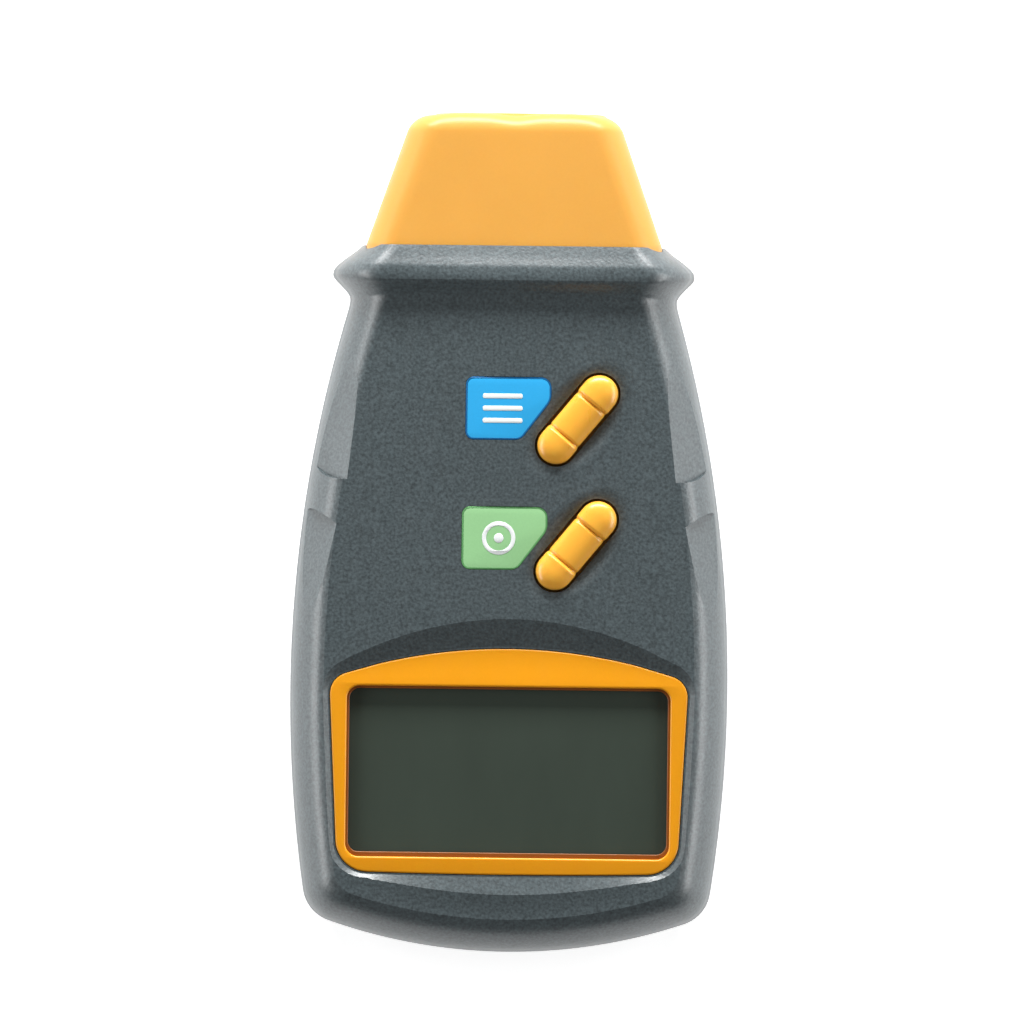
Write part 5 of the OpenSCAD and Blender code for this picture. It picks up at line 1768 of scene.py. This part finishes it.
def dress_node(node: str, finish: Finish) -> None:
    """Gives a CAD node its finish.

    Args:
        node: the node's name.
        finish: its finish.
    """
    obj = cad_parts[node]
    for place in obj.material_slots:
        place.material = Paints.get(finish)
    LOG.info("%s: %s", node, finish.value.name)


NODE_FINISHES: dict[str, Finish] = {
    "lcd_front_polariser": Finish.POLARISER, "lcd_front_glass": Finish.CELL, "lcd_rear_glass": Finish.CELL,
    "lcd_reflector": Finish.REFLECTOR, "lcd_holder": Finish.BLACK, "zebra_strips": Finish.RUBBER,
    "main_board": Finish.BOARD, "board_film": Finish.FILM, "controller_blob": Finish.RESIN,
    "clock_crystal": Finish.CAN, "supply_capacitors": Finish.SLEEVE, "chip_resistors": Finish.RESIN,
    "board_screws": Finish.STEEL,
    "memory_switch_plunger": Finish.PLUNGER, "memory_switch_base": Finish.BLACK,
    "measure_switch_plunger": Finish.PLUNGER, "measure_switch_base": Finish.BLACK,
    "optics_block": Finish.BLACK, "receiver_lens": Finish.LENS, "lens_ring": Finish.BLACK,
    "laser_window": Finish.RED_GLASS, "laser_barrel": Finish.BRASS, "laser_lens": Finish.LENS,
    "laser_diode": Finish.BRASS, "laser_board": Finish.BOARD, "sensor_board": Finish.BOARD,
    "photodiode": Finish.RESIN, "sensor_pins": Finish.NICKEL, "laser_lead_red": Finish.LEAD_RED,
    "laser_lead_black": Finish.LEAD_BLACK, "battery_case": Finish.WRAP, "battery_terminals": Finish.NICKEL,
    "snap_contacts": Finish.NICKEL, "battery_snap": Finish.BLACK, "battery_lead_red": Finish.LEAD_RED,
    "battery_lead_black": Finish.LEAD_BLACK,
}


@dataclass(frozen=True)
class Lamp:
    """An area lamp that looks at the object. Lengths are metres here."""

    name: str
    at: Point
    size: tuple[float, float]
    power: float
    look_z: float = 0.01

    def build(self) -> None:
        """Sets the lamp up."""
        data = bpy.data.lights.new(self.name, "AREA")
        data.shape = "RECTANGLE"
        data.size, data.size_y = self.size
        data.energy = self.power
        lamp = bpy.data.objects.new(self.name, data)
        bpy.context.collection.objects.link(lamp)
        lamp.location = self.at
        x, y, z = np.array([0, 0, self.look_z]) - np.array(self.at)
        pitch = math.atan2(-z, math.hypot(x, y))
        lamp.rotation_euler = (math.pi / 2 - pitch, 0, math.atan2(y, x) - math.pi / 2)


@dataclass(frozen=True)
class Studio:
    """A pale floor, soft lamps and a camera straight above, as the photograph was taken."""

    image_px: int = 1010
    mm_per_px: float = 0.15605
    centre_px: tuple[float, float] = (510.78, 533.25)
    lean: float = 0.699
    height: float = 2.4
    plane_z: float = 0.02
    reach: float = 10.0
    floor_half: float = 6000.0
    floor_tone: float = 0.86
    floor_glow: float = 0.62
    sky_seen: float = 0.9
    sky_light: float = 0.1
    lamps: Sequence[Lamp] = (
        Lamp("lamp_nose", (0.0, 0.861, 0.273), (1.0, 0.22), 21.0),
        Lamp("lamp_left", (-0.748, 0.0, 0.29), (0.8, 0.34), 5.0),
        Lamp("lamp_right", (0.748, 0.0, 0.29), (0.8, 0.34), 5.0),
    )

    def camera(self) -> None:
        """Sets the camera over the object."""
        data = bpy.data.cameras.new("camera")
        span = self.image_px * self.mm_per_px * MM
        data.lens = data.sensor_width * self.height / span
        data.clip_end = self.reach
        cam = bpy.data.objects.new("camera", data)
        bpy.context.collection.objects.link(cam)
        a = math.radians(self.lean)
        right, up = np.array([math.cos(a), math.sin(a)]), np.array([-math.sin(a), math.cos(a)])
        half = self.image_px / 2
        dx = (self.centre_px[0] - half) * self.mm_per_px * MM
        dy = (half - self.centre_px[1]) * self.mm_per_px * MM
        place = -dx * right - dy * up
        cam.location = (place[0], place[1], self.plane_z + self.height)
        cam.rotation_euler = (0, 0, a)
        bpy.context.scene.camera = cam

    def floor(self) -> None:
        """The pale floor, which keeps the object's shadow."""
        e = self.floor_half
        floor = mesh_object("floor", np.array([(-e, -e, 0), (e, -e, 0), (e, e, 0), (-e, e, 0)]), [[0, 1, 2, 3]])
        s = ShaderBuild("floor")
        path = s.add("ShaderNodeLightPath")
        seen = s.math("MAXIMUM", (path, "Is Camera Ray"), (path, "Is Glossy Ray"))
        glow = s.math("MULTIPLY", s.math("MAXIMUM", seen, (path, "Is Transmission Ray")), self.floor_glow)
        s.gives(Base_Color=shaded((1, 1, 1), self.floor_tone), Roughness=0.9, Specular_IOR_Level=0.0,
                Emission_Color=(1, 1, 1, 1), Emission_Strength=glow)
        floor.data.materials.append(s.material)

    def world(self) -> None:
        """A soft world that is white to the eye."""
        world = bpy.data.worlds.new("world")
        world.use_nodes = True
        bpy.context.scene.world = world
        n = NodeSet(world.node_tree)
        path = n.add("ShaderNodeLightPath")
        seen = n.math("MAXIMUM", (path, "Is Camera Ray"), (path, "Is Transmission Ray"))
        background = n.tree.nodes["Background"]
        n.put(background, "Color", (1, 1, 1, 1))
        n.put(background, "Strength", n.math("MULTIPLY_ADD", seen, self.sky_seen, self.sky_light))

    def build(self) -> None:
        """Sets the camera, the floor, the world and the lamps."""
        bpy.context.scene.view_settings.view_transform = "Standard"
        self.camera()
        self.floor()
        self.world()
        for lamp in self.lamps:
            lamp.build()


def main() -> None:
    """Builds the instrument and its studio, piece by piece."""
    logging.basicConfig(level=logging.INFO, format="%(name)s %(message)s", stream=sys.stdout)
    form, display, bay, screw = HousingForm(), DisplayForm(), BayForm(), ScrewForm()
    blue, green = LabelForm(-0.6, 19.45), LabelForm(-0.98, -0.75)
    memory, measure = KeyForm(), KeyForm(y=-1.8)
    hood = NoseHood(NoseForm(form))
    for node, finish in NODE_FINISHES.items():
        dress_node(node, finish)
    FrontHousing(form, display, (memory, measure), (blue, green), hood).build()
    RearHousing(form, bay, hood, screw).build()
    BatteryDoor(bay, form.wall).build()
    Screws(screw).build()
    hood.build()
    DisplayGroup(display).build()
    LabelPatch(blue, "memory", Finish.BLUE, Finish.BLUE_RIM, Mark.BARS).build()
    LabelPatch(green, "measure", Finish.GREEN, Finish.GREEN_RIM, Mark.TARGET).build()
    Key(memory, Body.MEMORY_KEY, "memory_key_cap", "memory_button").build()
    Key(measure, Body.MEASURE_KEY, "measure_key_cap", "measure_button").build()
    Studio().build()


if __name__ == "__main__":
    main()
